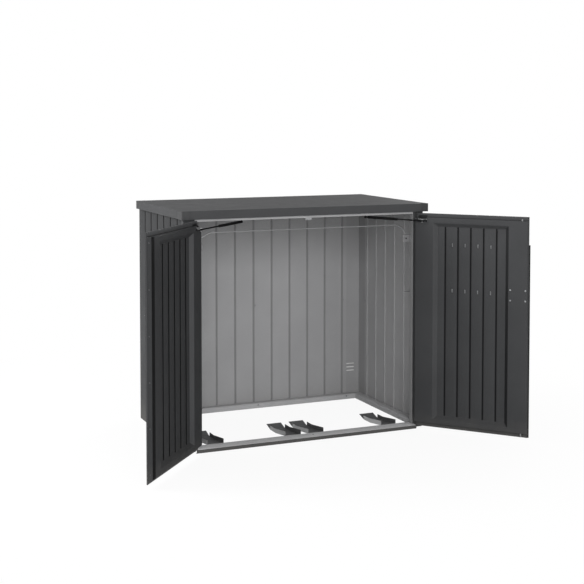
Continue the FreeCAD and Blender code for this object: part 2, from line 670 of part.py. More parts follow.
def strut_points():
    """Left strut: the head under the header, the door ball when open, and the turning axis.

    The axis is the one about which the strut, seen from the door, turns from its open
    direction to its closed one; it stands almost upright."""
    head = V(-STRUT_HEAD_X, STRUT_HEAD_Y, STRUT_HEAD_Z)
    turn = FreeCAD.Rotation(V(0, 0, 1), -OPEN_ANGLE)
    hinge = V(-HINGE_X, HINGE_Y, 0)
    local = V(STRUT_DOOR_D, STRUT_DOOR_N, STRUT_DOOR_Z)
    ball = hinge + turn.multVec(local)
    open_way = (head - ball).normalize()
    closed_way = turn.multVec(head - hinge - local).normalize()
    change = (open_way - closed_way).normalize()
    axis = V(0, 0, 1) - change * change.z
    return head, ball, axis.normalize()


def struts():
    """Gas struts: cylinder, rod, door bracket with its stud, and the plate under the header."""
    head, ball, axis = strut_points()
    way = (ball - head).normalize()
    length = (ball - head).Length
    at = lambda distance: head + way * distance

    body = rod(at(12), at(CYLINDER_L), CYLINDER_R)
    body = joined([body, Part.makeSphere(CYLINDER_R, head), rod(head, at(14), 5.0),
                   rod(head, head + V(0, 0, CYLINDER_R + 0.9), STUD_R + 1)])
    body = body.cut(rod(at(CYLINDER_CAP), at(CYLINDER_L - GLAND), CYLINDER_BORE))
    body = body.cut(rod(at(CYLINDER_L - GLAND - 1), at(CYLINDER_L + 1), STRUT_ROD_R + RUN))

    half = axis * (SOCKET_H / 2)
    piston = rod(at(PISTON_AT), at(PISTON_AT + PISTON_T), CYLINDER_BORE - RUN)
    stem = joined([piston, rod(at(PISTON_AT), at(length - 2), STRUT_ROD_R),
                   rod(ball - half, ball + half, SOCKET_R)])
    stem = stem.cut(rod(ball - half * 2, ball + half * 2, STUD_R + RUN))

    tab = STRUT_DOOR_Z + SOCKET_H / 2 + REST + 0.2
    seat = DOOR_INSIDE + REST
    plate = slab(BRACKET_D0, BRACKET_D1, seat, seat + BRACKET_T / 2, tab, HEADER_BOTTOM - BRACKET_DROP)
    reach = 9.0
    arm = slab(STRUT_DOOR_D - reach, STRUT_DOOR_D + reach, seat, STRUT_DOOR_N, tab, tab + BRACKET_T)
    corner = [(seat, tab), (seat + BRACKET_ROOT, tab), (seat, HEADER_BOTTOM - 2 * BRACKET_T)]
    gusset = prism(corner, "x", BRACKET_D0, BRACKET_D0 + BRACKET_T)
    root = slab(BRACKET_D0, STRUT_DOOR_D, seat, seat + BRACKET_ROOT, tab, tab + BRACKET_T)
    end = disc(STRUT_DOOR_D, STRUT_DOOR_N, tab, tab + BRACKET_T, reach)
    bracket = hung(joined([plate, arm, root, gusset, end]))
    foot = ball - half - axis * (REST + 1.5)
    stud = rod(foot, ball + half + axis * 1.5, STUD_R)
    washer = rod(foot, foot + axis * 1.5, STUD_R + 2)
    bracket = joined([bracket, stud, washer])

    wide = HEAD_BRACKET_W / 2
    high = HEADER_BOTTOM - REST
    plate = slab(head.x - wide, head.x + wide, HEADER_D - 1 - HEAD_BRACKET_D, HEADER_D - 1,
                     high - BRACKET_T, high)
    for name, shape in (("strut_cylinder", body), ("strut_rod", stem), ("strut_door_bracket", bracket)):
        export("left_" + name, shape)
        export("right_" + name, mirrored(shape))
    export("strut_header_brackets", [plate, mirrored(plate)])


def spindle_hole():
    """The round hole for the spindle through the plate under the lever and the skin."""
    start = V(LOCK_D, DOOR_OUTSIDE - REST - HANDLE_PLATE_T - 1, LOCK_Z)
    return rod(start, V(LOCK_D, DOOR_OUTSIDE + SHEET + 1, LOCK_Z), SPINDLE_R + RUN)


def at_lock(angle, n0, n1, radius):
    """A pin along n on the pin circle of the lock disc, drawn in door coordinates."""
    d = LOCK_D + PIN_CIRCLE * math.cos(math.radians(angle))
    z = LOCK_Z + PIN_CIRCLE * math.sin(math.radians(angle))
    return rod(V(d, n0, z), V(d, n1, z), radius)


def pin_slot(angle, n0, n1):
    """The level slot in a rod lug that takes a lock pin through its quarter turn."""
    way = 1 if math.cos(math.radians(angle)) > 0 else -1
    z = LOCK_Z + PIN_CIRCLE * math.sin(math.radians(angle))
    near = LOCK_D + way * PIN_CIRCLE * math.cos(math.radians(45))
    far = LOCK_D + way * PIN_CIRCLE
    radius = PIN_R + PIN_SLACK
    middle = slab(near, far, n0, n1, z - radius, z + radius)
    ends = [rod(V(d, n0, z), V(d, n1, z), radius) for d in (near, far)]
    return joined([middle] + ends)


def lock():
    """Spindle disc, lever, handle plate, lock plate, bolt rods and their guides, left-handed."""
    top_layer = DISC_N + DISC_T + 0.6
    low_layer = top_layer + LUG_T + 1.2
    spindle = rod(V(LOCK_D, DOOR_OUTSIDE - LEVER_STAND - 6, LOCK_Z), V(LOCK_D, DISC_N, LOCK_Z), SPINDLE_R)
    wheel = rod(V(LOCK_D, DISC_N, LOCK_Z), V(LOCK_D, DISC_N + DISC_T, LOCK_Z), DISC_R)
    short_pin = at_lock(-45, DISC_N + DISC_T - 0.5, top_layer + LUG_T + 0.4, PIN_R)
    long_pin = at_lock(135, DISC_N + DISC_T - 0.5, low_layer + LUG_T + 0.4, PIN_R)
    turning = joined([spindle, wheel, short_pin, long_pin])

    front = DOOR_OUTSIDE - LEVER_STAND - LEVER_T
    hub = rod(V(LOCK_D, front, LOCK_Z), V(LOCK_D, DOOR_OUTSIDE - LEVER_STAND + 2, LOCK_Z), HUB_R)
    bar = slab(LOCK_D - LEVER_L, LOCK_D, front, front + LEVER_T, LOCK_Z - LEVER_W / 2, LOCK_Z + LEVER_W / 2)
    tip = rod(V(LOCK_D - LEVER_L, front, LOCK_Z), V(LOCK_D - LEVER_L, front + LEVER_T, LOCK_Z), LEVER_W / 2)
    lever = joined([hub, bar, tip])
    lever = lever.cut(rod(V(LOCK_D, front + 2, LOCK_Z), V(LOCK_D, DOOR_OUTSIDE, LOCK_Z), SPINDLE_R + 0.02))
    return turning, lever, top_layer, low_layer


def bolt_rods(top_layer, low_layer):
    """The two bolt rods with their slotted lugs, drawn in door coordinates."""
    swing = PIN_CIRCLE * math.sin(math.radians(45))
    start = LOCK_Z + swing + 8
    upper = rod(V(ROD_D, ROD_N, start), V(ROD_D, ROD_N, TOP_ROD_TOP), ROD_R)
    near = LOCK_D + PIN_CIRCLE * math.cos(math.radians(45)) - PIN_R - 2
    lug = slab(near, ROD_D + ROD_R, top_layer, top_layer + LUG_T, LOCK_Z - swing - 5.5, start + 18)
    upper = joined([upper, lug]).cut(pin_slot(-45, top_layer - 1, top_layer + LUG_T + 1))

    end = LOCK_Z - swing - 8
    lower = rod(V(ROD_D, ROD_N, BOTTOM_ROD_BOTTOM), V(ROD_D, ROD_N, end), ROD_R)
    near = LOCK_D - PIN_CIRCLE - PIN_R - 4
    lug = slab(near, ROD_D + ROD_R, low_layer, low_layer + LUG_T, end - 18, LOCK_Z + swing + 5.5)
    bridge = slab(ROD_D - ROD_R, ROD_D + ROD_R, ROD_N, low_layer + LUG_T, end - 18, end)
    lower = joined([lower, lug, bridge]).cut(pin_slot(135, low_layer - 1, low_layer + LUG_T + 1))
    return upper, lower


def lock_plates():
    """Plate behind the liner, plate under the lever, rod guides and the four lock screws."""
    inner = LINER_FACE - SHEET - REST
    plate = slab(LOCK_D - LOCK_SCREW_D / 2 - 7, LOCK_D + LOCK_SCREW_D / 2 + 7, inner - BRACKET_T, inner,
                 LOCK_Z - LOCK_SCREW_Z / 2 - 10, LOCK_Z + LOCK_SCREW_Z / 2 + 10)
    front = DOOR_OUTSIDE - REST
    half_w, half_h = HANDLE_PLATE_W / 2, HANDLE_PLATE_H / 2
    face = slab(LOCK_D - half_w, LOCK_D + half_w, front - HANDLE_PLATE_T, front,
                LOCK_Z - half_h, LOCK_Z + half_h)
    face = face.makeChamfer(1.5, [edge for edge in face.Edges if edge.BoundBox.YMax < front - 1])
    face = face.cut(spindle_hole())
    guides = []
    for z in GUIDE_Z:
        guide = slab(ROD_D - GUIDE_W / 2, ROD_D + GUIDE_W / 2, ROD_N - 8, inner,
                     z - GUIDE_H / 2, z + GUIDE_H / 2)
        guides.append(guide.cut(disc(ROD_D, ROD_N, z - GUIDE_H, z + GUIDE_H, ROD_R + RUN)))
    heads = []
    for d, z in lock_screw_places():
        head = rod(V(d, LINER_FACE + REST, z), V(d, LINER_FACE + REST + LOCK_HEAD_H, z), LOCK_HEAD_R)
        shank = rod(V(d, inner - BRACKET_T - 1, z), V(d, LINER_FACE + REST + 1, z), LOCK_SCREW_R)
        heads.append(joined([head, shank]))
        plate = plate.cut(rod(V(d, 0, z), V(d, LINER_FACE, z), LOCK_SCREW_R + HOLE))
    return plate, face, guides, heads


def lock_screw_places():
    """Centres of the four screws around the lock, as d and z."""
    return [(LOCK_D + a * LOCK_SCREW_D / 2, LOCK_Z + b * LOCK_SCREW_Z / 2) for a in (-1, 1) for b in (-1, 1)]


def doors():
    """Both leaves with everything that is fixed to them."""
    skin = door_skin()
    liner = door_liner()
    fixed, moving, pins = hinge_leaves()
    export("hinge_frame_leaves", fixed + [mirrored(s) for s in fixed])
    export("hinge_pins", pins + [mirrored(s) for s in pins])
    export("left_hinge_door_leaves", moving)
    export("right_hinge_door_leaves", [mirrored(s) for s in moving])

    left_liner = liner
    rivets = []
    for k in range(RIVETS):
        z = RIVET_Z0 + k * RIVET_PITCH
        n = (DOOR_INSIDE + LINER_FACE) / 2
        head = rod(V(LINER_END + REST, n, z), V(LINER_END + REST + RIVET_HEAD_H, n, z), RIVET_HEAD_R)
        shank = rod(V(LINER_END - 3, n, z), V(LINER_END + REST + 0.5, n, z), RIVET_R)
        rivets.append(hung(joined([head, shank])))
        left_liner = left_liner.cut(rod(V(LINER_END - 2, n, z), V(LINER_END + 2, n, z), RIVET_R + HOLE))
    rubber = slab(RUBBER_D0, RUBBER_D1, LINER_FACE + REST, LINER_FACE + REST + RUBBER_T,
                  LINER_BOTTOM, LINER_TOP)
    export("left_door_skin", hung(skin))
    export("left_door_liner", hung(left_liner))
    export("left_door_seal", hung(rubber))
    export("left_door_rivets", rivets)

    right = lambda shape: mirrored(hung(shape))
    turning, lever, top_layer, low_layer = lock()
    upper, lower = bolt_rods(top_layer, low_layer)
    plate, face, guides, heads = lock_plates()
    export("lock_disc", right(turning))
    export("handle_lever", right(lever))
    export("top_bolt_rod", right(upper))
    export("bottom_bolt_rod", right(lower))
    export("lock_plate", right(plate))
    export("handle_plate", right(face))
    export("rod_guides", [right(s) for s in guides])
    export("lock_screws", [right(s) for s in heads])

    skin = skin.cut(spindle_hole())
    liner = liner.cut(disc(ROD_D, ROD_N, LINER_TOP - 5, LINER_TOP + 1, ROD_R + HOLE))
    liner = liner.cut(disc(ROD_D, ROD_N, LINER_BOTTOM - 1, LINER_BOTTOM + 5, ROD_R + HOLE))
    for d, z in lock_screw_places():
        liner = liner.cut(rod(V(d, LINER_FACE - 5, z), V(d, LINER_FACE + 1, z), LOCK_SCREW_R + HOLE))
    floor = LINER_FACE - RECESS_DEPTH
    for z in SLOT_Z:
        for k in range(LINER_GROOVES - 1):
            d = SLOT_0 + k * LINER_GROOVE_PITCH
            liner = liner.cut(slab(d - SLOT_W / 2, d + SLOT_W / 2, floor - 2, floor + 1,
                                   z - SLOT_H / 2, z + SLOT_H / 2))
    back = floor - LINER_GROOVE_DEPTH - SHEET - REST
    rails = []
    for z in SLOT_Z:
        half = HOOK_RAIL_H / 2
        rails.append(right(slab(HOOK_RAIL_D0, HOOK_RAIL_D1, back - FRAME_SHEET, back, z - half, z + half)))
    front = DOOR_OUTSIDE - REST
    strip = slab(STRIP_D0, STRIP_D1, front - STRIP_T, front, DOOR_BOTTOM, STRIP_TOP)
    export("right_door_skin", right(skin))
    export("right_door_liner", right(liner))
    export("overlap_strip", right(strip))
    export("hook_rails", rails)


def lid_bail():
    """The bent wire that holds the bin lids, and the two clips it stands against."""
    x, y = BAIL_LEG_X, BAIL_Y
    end = POST_IN + BAIL_STUB
    corners = [V(-end, y, BAIL_PIVOT_Z), V(-x, y, BAIL_PIVOT_Z), V(-x, y, BAIL_SHOULDER_Z),
               V(-BAIL_BAR_X, y, BAIL_TOP_Z), V(BAIL_BAR_X, y, BAIL_TOP_Z), V(x, y, BAIL_SHOULDER_Z),
               V(x, y, BAIL_PIVOT_Z), V(end, y, BAIL_PIVOT_Z)]
    pieces = [rod(a, b, BAIL_R) for a, b in zip(corners, corners[1:])]
    pieces += [Part.makeSphere(BAIL_R, corner) for corner in corners[1:-1]]
    export("lid_bail", joined(pieces))

    back = y - BAIL_R - REST
    tab = slab(CLIP_X, POST_IN - REST, back - CLIP_T, back, CLIP_Z0, CLIP_Z1)
    flange = slab(POST_IN - REST - CLIP_T, POST_IN - REST, back - CLIP_T, POST_D - 1, CLIP_Z0, CLIP_Z1)
    middle = (CLIP_Z0 + CLIP_Z1) / 2
    hole = rod(V(CLIP_HOLE_X, 0, middle), V(CLIP_HOLE_X, POST_D, middle), 2.5)
    clip = joined([tab, flange]).cut(hole)
    export("bail_clips", [clip, mirrored(clip)])


def keeper():
    """The folded plate under the header that both leaves close against."""
    top = HEADER_BOTTOM - REST
    plate = slab(KEEPER_X0, KEEPER_X1, KEEPER_Y0, KEEPER_Y1, top - BRACKET_T, top)
    stop = slab(KEEPER_X0, KEEPER_X1, KEEPER_Y0, KEEPER_Y0 + BRACKET_T, KEEPER_BOTTOM, top)
    export("catch_plate", joined([plate, stop]))


def wheel_cradles():
    """Ramped trays behind the sill that hold the wheels of the bins."""
    half = CRADLE_W / 2
    front = SILL_BACK + REST
    path = [(front, RAMP_TOP_Z), (RAMP_END_Y, 0), (CRADLE_FLAT_Y, 0), (CRADLE_END_Y, CRADLE_LIP_Z)]
    base = prism(folded(path, CRADLE_T), "x", -half, half)
    hook = slab(-half, half, front, front + CRADLE_T, CRADLE_T, RAMP_TOP_Z + CRADLE_T)
    web = [(front, RAMP_TOP_Z), (RAMP_END_Y, 0), (WEB_END_Y, 0), (WEB_END_Y, WEB_Z),
           (WEB_KNEE_Y, WEB_Z), (front, WEB_FRONT_Z)]
    webs = [prism(web, "x", s * half, s * (half - CRADLE_T)) for s in (-1, 1)]
    cradle = joined([base, hook] + webs)
    for number, x in enumerate(CRADLE_X, 1):
        piece = cradle.copy()
        piece.translate(V(x, 0, 0))
        export("wheel_cradle_%d" % number, piece)


os.makedirs("parts", exist_ok=True)
wall_panels()
screws()
frame()
roof()
doors()
struts()
lid_bail()
keeper()
wheel_cradles()
print("written")
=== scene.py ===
# %% [markdown]
# # A sheet steel store for two wheeled bins
# The store is a box of thin folded sheets: walls with narrow pressed grooves, a flat roof with a
# deep fascia, and two doors that stand open on gas struts. Almost every piece of it is a flat
# strip of steel with a few bends, so most of this lesson is about one idea: draw the bent edge of
# a sheet as a path, round its bends, give it its thickness and carry it along a straight line.
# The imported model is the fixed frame. Everything below is placed by its sizes, in metres.

# %% Load the frame
import bmesh
import bpy
import numpy as np
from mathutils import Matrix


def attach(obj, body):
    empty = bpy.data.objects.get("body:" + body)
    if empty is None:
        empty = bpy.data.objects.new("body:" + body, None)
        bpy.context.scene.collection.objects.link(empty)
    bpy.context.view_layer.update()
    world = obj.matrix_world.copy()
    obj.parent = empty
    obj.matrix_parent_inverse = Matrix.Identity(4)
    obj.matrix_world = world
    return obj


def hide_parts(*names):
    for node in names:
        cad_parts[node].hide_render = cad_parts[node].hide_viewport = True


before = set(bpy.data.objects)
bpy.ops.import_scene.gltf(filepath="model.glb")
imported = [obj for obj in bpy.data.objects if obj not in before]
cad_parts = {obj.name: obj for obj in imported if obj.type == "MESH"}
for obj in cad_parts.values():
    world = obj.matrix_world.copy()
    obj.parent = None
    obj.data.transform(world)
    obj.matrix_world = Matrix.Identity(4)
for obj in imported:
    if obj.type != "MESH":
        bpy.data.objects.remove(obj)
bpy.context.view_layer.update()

# %% [markdown]
# ## Sizes
# The maker's drawing is in millimetres, with y counted from the front face of the posts and z from
# the ground. The frame's origin is the middle of the floor plan, half the body's depth behind that.
# The doors have a drawing of their own: d runs from the hinge line along the leaf and n from the
# outside of the leaf to its inside. Both drawings end in one function that gives frame metres.

# %% Drawings to metres
PITCH = 118.0
HALF_W = 6 * PITCH
DEPTH = 100.0 + 6 * PITCH
ROOF_TOP = 1270.0
FRAME_TOP = 1268.7
WALL_TOP = 1265.7
POST_IN = 644.5
HINGE_X, HINGE_Y, OPEN = 652.9, -20.1, np.radians(130.6)


def on_body(points):
    """Drawing millimetres to frame metres: y is moved back by half the depth."""
    moved = np.asarray(points, float) * 0.001
    moved[:, 1] -= DEPTH * 0.0005
    return moved


def mirrored(points):
    """The same drawing for the left side: x changes its sign."""
    return on_body(np.asarray(points, float) * [-1, 1, 1])


def hang(points, side):
    """Door drawing (d, n, z) to frame metres at the open angle. Along the leaf a point moves by
    d times (cos, -sin) of the angle past the hinge line, and across it by n times the normal."""
    p = np.asarray(points, float)
    x = side * (HINGE_X - p[:, 0] * np.cos(OPEN) - p[:, 1] * np.sin(OPEN))
    y = HINGE_Y - p[:, 0] * np.sin(OPEN) + p[:, 1] * np.cos(OPEN)
    return on_body(np.c_[x, y, p[:, 2]])


def on_left(points):
    """Door drawing to frame metres for the left leaf."""
    return hang(points, -1)


def on_right(points):
    """Door drawing to frame metres for the right leaf."""
    return hang(points, 1)


def across(middles, side):
    """The n of frame points: (x, y) less the hinge line, times the direction across the leaf."""
    x, y = middles[:, 0] * 1000 * side, middles[:, 1] * 1000 + DEPTH / 2
    return (HINGE_X - x) * np.sin(OPEN) + (y - HINGE_Y) * np.cos(OPEN)


print("hinge lines at x = +-%.1f mm, doors %.1f degrees open" % (HINGE_X, np.degrees(OPEN)))

# %% [markdown]
# ## Rounding and offsetting a path
# A press brake never makes a sharp corner. Each corner of a path is replaced by a short parabola
# that starts and ends on its two legs, which is the cheapest curve that is tangent to both. The
# other face of the sheet is the same path moved sideways along the mitre of its two normals.

# %% Path helpers
def unit(v):
    """Each vector divided by its own length."""
    return v / np.linalg.norm(v, axis=-1, keepdims=True)


def soften(path, radius, steps=4):
    """Round the inner corners of an open path in 2-D or 3-D. With legs a and b and half angle w,
    the curve starts radius / tan(w) before the corner, or half a leg if that is shorter, and is
    (1-s)^2 start + 2s(1-s) corner + s^2 end."""
    p = np.asarray(path, float)
    back, on = p[:-2] - p[1:-1], p[2:] - p[1:-1]
    half = np.arccos(np.clip((unit(back) * unit(on)).sum(1), -1, 1)) / 2
    shorter = np.minimum(np.linalg.norm(back, axis=1), np.linalg.norm(on, axis=1))
    reach = np.minimum(radius / np.tan(half), 0.46 * shorter)[:, None]
    start, end = p[1:-1] + unit(back) * reach, p[1:-1] + unit(on) * reach
    s = np.linspace(0, 1, steps + 1)[None, :, None]
    arcs = (1 - s) ** 2 * start[:, None] + 2 * s * (1 - s) * p[1:-1, None] + s ** 2 * end[:, None]
    return np.vstack([p[:1], arcs.reshape(-1, p.shape[1]), p[-1:]])


def sideways(path, distance):
    """A 2-D path moved to its left: each point goes by distance / (1 + cos of the bend) along the
    sum of its two unit normals, which keeps the sheet equally thick round every bend."""
    step = unit(np.diff(path, axis=0))
    normal = np.c_[-step[:, 1], step[:, 0]]
    first, second = np.vstack([normal[:1], normal]), np.vstack([normal, normal[-1:]])
    share = distance / (1 + (first * second).sum(1, keepdims=True))
    return path + share * (first + second)


print("a square corner of radius 2 becomes", len(soften([[0, 0], [9, 0], [9, 9]], 2)) - 2, "points")

# %% [markdown]
# ## From arrays to a mesh
# One function turns point and face arrays into an object, picks a material for each face from its
# middle and its normal, and shades it smooth except across sharp edges. Faces are turned outwards
# while the shells are still closed.

# %% Mesh maker
def put_mesh(name, shells, place, paints, choose=None, body="shed_frame", sharp=32.0, bevel=None):
    """shells is a list of (points, faces). choose(middles, normals) gives a paint number a face."""
    points, faces, count = [], [], 0
    for shell_points, shell_faces in shells:
        points.append(place(shell_points))
        faces += [[int(i) + count for i in face] for face in shell_faces]
        count += len(shell_points)
    mesh = bpy.data.meshes.new(name)
    mesh.from_pydata(np.vstack(points).tolist(), [], faces)
    work = bmesh.new()
    work.from_mesh(mesh)
    bmesh.ops.recalc_face_normals(work, faces=work.faces)
    work.to_mesh(mesh)
    work.free()
    for paint in paints:
        mesh.materials.append(paint)
    if choose:
        total = len(mesh.polygons)
        middles, normals = np.empty(total * 3), np.empty(total * 3)
        mesh.polygons.foreach_get("center", middles)
        mesh.polygons.foreach_get("normal", normals)
        picked = choose(middles.reshape(-1, 3), normals.reshape(-1, 3))
        mesh.polygons.foreach_set("material_index", np.asarray(picked, np.int32))
    mesh.shade_smooth()
    mesh.set_sharp_from_angle(angle=np.radians(sharp))
    piece = bpy.data.objects.new(name, mesh)
    bpy.context.collection.objects.link(piece)
    if bevel:
        edge = piece.modifiers.new("soft edges", "BEVEL")
        edge.width, edge.segments, edge.limit_method = bevel * 0.001, 2, "ANGLE"
        edge.angle_limit = np.radians(40)
        edge.harden_normals = True
    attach(piece, body)
    return piece


print("sharp edges start at a bend of 32 degrees where a piece names no other angle")

# %% [markdown]
# ## Sheets and plates
# Two shapes make up most of the store. A folded sheet is a path and its copy moved sideways by the
# thickness, carried straight. A plate is a closed outline carried by its thickness.

# %% Sheets and plates
def carried(ring, low, high, order="xyz"):
    """A closed ring of 2-D points carried straight from low to high. order names the axes of the
    ring's two numbers and of the way it goes, so "yzx" is drawn in y and z and carried along x."""
    n = len(ring)
    flat = np.vstack([np.c_[ring, np.full(n, low)], np.c_[ring, np.full(n, high)]])
    points = np.empty_like(flat)
    for column, axis in enumerate(order):
        points[:, "xyz".index(axis)] = flat[:, column]
    i = np.arange(n)
    j = (i + 1) % n
    return points, np.c_[i, j, j + n, i + n].tolist()


def sheet(path, thickness, low, high, order="xyz", bend=1.5, steps=4):
    """A folded sheet: the rounded path, its copy moved sideways by the thickness, both carried
    straight, and a strip of quads across each end."""
    outer = soften(path, bend, steps) if len(path) > 2 else np.asarray(path, float)
    ring = np.vstack([outer, sideways(outer, thickness)[::-1]])
    points, faces = carried(ring, low, high, order)
    n, k = len(ring), np.arange(len(outer) - 1)
    cap = np.c_[k, k + 1, n - 2 - k, n - 1 - k]
    return points, faces + cap[:, ::-1].tolist() + (cap + n).tolist()


def slab(outline, low, high, order="xyz", round_by=0.0, steps=4):
    """A flat plate: a closed outline with rounded corners, carried by its thickness, and one face
    at each side."""
    ring = np.asarray(outline, float)
    if round_by:
        ring = np.vstack([ring[-1:], ring, ring[:1]])
        ring = soften(ring, round_by, steps)[1:-1]
    points, faces = carried(ring, low, high, order)
    n = len(ring)
    return points, faces + [list(range(n))[::-1], list(range(n, 2 * n))]


def block(x0, x1, y0, y1, z0, z1):
    """A small plate from its corners."""
    return slab([(x0, y0), (x1, y0), (x1, y1), (x0, y1)], z0, z1)


print("a sheet with one square bend has", len(sheet([(0, 0), (9, 0), (9, 9)], 1.0, 0, 5)[1]), "faces")

# %% [markdown]
# ## Turned pieces and wires
# Rods, gas struts, rivets and screw heads are turned: a profile of (distance, radius) pairs goes
# round an axis. A wire is a small circle carried along a path. Both need a frame across the path;
# for a wire it is moved from point to point without twisting, by taking out of the old side
# direction whatever lies along the new one.

# %% Turning and wire helpers
def turned(profile, start, way, sides=32):
    """Points at start + way * s + radius * (cos, sin) across the way, for each (s, radius). A
    radius of nothing at either end closes the piece at a pole."""
    way = unit(np.asarray(way, float))
    side = unit(np.cross(way, [0.31, 0.52, 0.79]))
    other = np.cross(way, side)
    s, r = np.asarray(profile, float).T
    turn = np.linspace(0, 2 * np.pi, sides, endpoint=False)
    circle = np.cos(turn)[:, None] * side + np.sin(turn)[:, None] * other
    rings = (np.asarray(start, float) + s[:, None] * way)[:, None] + r[:, None, None] * circle
    return closed_rings(rings)


def closed_rings(rings):
    """Quads between neighbouring rings and a fan to the middle of the first and the last ring."""
    count, sides = rings.shape[:2]
    points = np.vstack([rings.reshape(-1, 3), rings[0].mean(0), rings[-1].mean(0)])
    k = np.arange(count - 1)[:, None] * sides
    i = np.arange(sides)[None, :]
    j = (i + 1) % sides
    quads = np.stack([k + i, k + j, k + j + sides, k + i + sides], -1).reshape(-1, 4)
    i, j = i[0], j[0]
    last = (count - 1) * sides
    first_fan = np.c_[j, i, np.full(sides, count * sides)]
    last_fan = np.c_[last + i, last + j, np.full(sides, count * sides + 1)]
    return points, quads.tolist() + first_fan.tolist() + last_fan.tolist()


def wire(path, radius, bend, sides=16):
    """A round wire along a softened path. The ring at each point stands across the mean of its
    two directions; its side vector is the last one with the part along the way taken out."""
    p = soften(path, bend, 8)
    step = unit(np.diff(p, axis=0))
    way = unit(np.vstack([step[:1], step[:-1] + step[1:], step[-1:]]))
    side = unit(np.cross(way[0], [0.2, 0.9, 0.3]))
    turn = np.linspace(0, 2 * np.pi, sides, endpoint=False)
    rings = []
    for here, along in zip(p, way):
        side = unit(side - along * (side @ along))
        other = np.cross(along, side)
        rings.append(here + radius * (np.cos(turn)[:, None] * side + np.sin(turn)[:, None] * other))
    return closed_rings(np.array(rings))


print("a wire with one bend has", len(wire([(0, 0, 0), (9, 0, 0), (9, 0, 9)], 1.0, 2.0)[0]), "points")

# %% [markdown]
# ## Helpers for finishes
# Every finish below is made of the same few nodes: noise, a range that maps one value to another,
# a mix of two colours and a bump. They read Object coordinates. The pieces built here are drawn in
# frame metres, so a height or a distance to a groove is read straight from them, and the finish
# stays on its piece when a joint moves.

# %% Node helpers
def new_material(name, colour, roughness, metallic=0.0, specular=0.5, coat=0.0):
    """A material with its gloss as plain numbers on the shader's own sockets."""
    material = bpy.data.materials.new(name)
    material.use_nodes = True
    shader = material.node_tree.nodes["Principled BSDF"]
    shader.inputs["Base Color"].default_value = (*colour, 1)
    shader.inputs["Roughness"].default_value = roughness
    shader.inputs["Metallic"].default_value = metallic
    shader.inputs["Specular IOR Level"].default_value = specular
    shader.inputs["Coat Weight"].default_value = coat
    shader.inputs["Coat Roughness"].default_value = 0.25
    material.diffuse_color = (*colour, 1)
    return material, material.node_tree.nodes, material.node_tree.links, shader


def noise_of(nodes, links, scale, detail=2.0, stretch=None):
    """Noise on Object coordinates, stretched by a Mapping node where the finish has a direction."""
    where = nodes.new("ShaderNodeTexCoord")
    noise = nodes.new("ShaderNodeTexNoise")
    noise.inputs["Scale"].default_value = scale
    noise.inputs["Detail"].default_value = detail
    source = where.outputs["Object"]
    if stretch:
        mapping = nodes.new("ShaderNodeMapping")
        mapping.inputs["Scale"].default_value = stretch
        links.new(source, mapping.inputs["Vector"])
        source = mapping.outputs["Vector"]
    links.new(source, noise.inputs["Vector"])
    return noise.outputs["Fac"]


def spread(nodes, links, value, low, high, out_low=0.0, out_high=1.0):
    """Map a value from one range to another and hold it there."""
    node = nodes.new("ShaderNodeMapRange")
    for socket, number in zip(("From Min", "From Max", "To Min", "To Max"), (low, high, out_low, out_high)):
        node.inputs[socket].default_value = number
    links.new(value, node.inputs["Value"])
    return node.outputs["Result"]


def blend_colour(nodes, links, share, first, second):
    """Mix two colours, each given as numbers or as a node's output."""
    mix = nodes.new("ShaderNodeMix")
    mix.data_type = "RGBA"
    links.new(share, mix.inputs["Factor"])
    for socket, colour in ((mix.inputs[6], first), (mix.inputs[7], second)):
        if isinstance(colour, tuple):
            socket.default_value = (*colour, 1)
        else:
            links.new(colour, socket)
    return mix.outputs[2]


def tint(colour, factor):
    """A colour times a factor, held at white."""
    return tuple(min(1.0, c * factor) for c in colour)


def add_bump(nodes, links, shader, height, strength, distance):
    """Tilt the normals by the slope of a height, given as a node's output."""
    bump = nodes.new("ShaderNodeBump")
    bump.inputs["Strength"].default_value = strength
    bump.inputs["Distance"].default_value = distance
    links.new(height, bump.inputs["Height"])
    links.new(bump.outputs["Normal"], shader.inputs["Normal"])


print("a pale colour doubled is held at white:", tint((0.6, 0.5, 0.4), 2.0))

# %% [markdown]
# ## Powder coat
# Powder coat is a baked plastic skin over steel. Close up it has a faint orange peel, a very fine
# sparkle and a soft sheen, and it is a little dustier just above the ground. The peel is a bump
# from fine noise, the sparkle a still finer noise that only lifts its highest peaks, and the dust
# a mix by height with a ragged upper edge. Shade in pressed grooves is painted into the colour as
# a band by distance from the nearest groove. It reaches past the groove's edges, furthest on the
# side walls, which the camera sees at a narrow angle.

# %% Powder coat
def groove_shade_band(nodes, links, way, first, pitch, dark, full=0.0035, gone=0.009):
    """Painted shade in and beside pressed grooves. A point's place is its dot product with the way; the
    distance to the nearest groove is that place, less the first groove, folded at half the pitch.
    The band keeps its strength up to the distance full from a groove and is gone at gone."""
    where = nodes.new("ShaderNodeTexCoord")
    place = nodes.new("ShaderNodeVectorMath")
    place.operation = "DOT_PRODUCT"
    links.new(where.outputs["Object"], place.inputs[0])
    place.inputs[1].default_value = way
    past = nodes.new("ShaderNodeMath")
    past.operation = "SUBTRACT"
    links.new(place.outputs["Value"], past.inputs[0])
    past.inputs[1].default_value = first
    near = nodes.new("ShaderNodeMath")
    near.operation = "PINGPONG"
    links.new(past.outputs["Value"], near.inputs[0])
    near.inputs[1].default_value = pitch / 2
    return spread(nodes, links, near.outputs["Value"], full, gone, dark, 0.0)


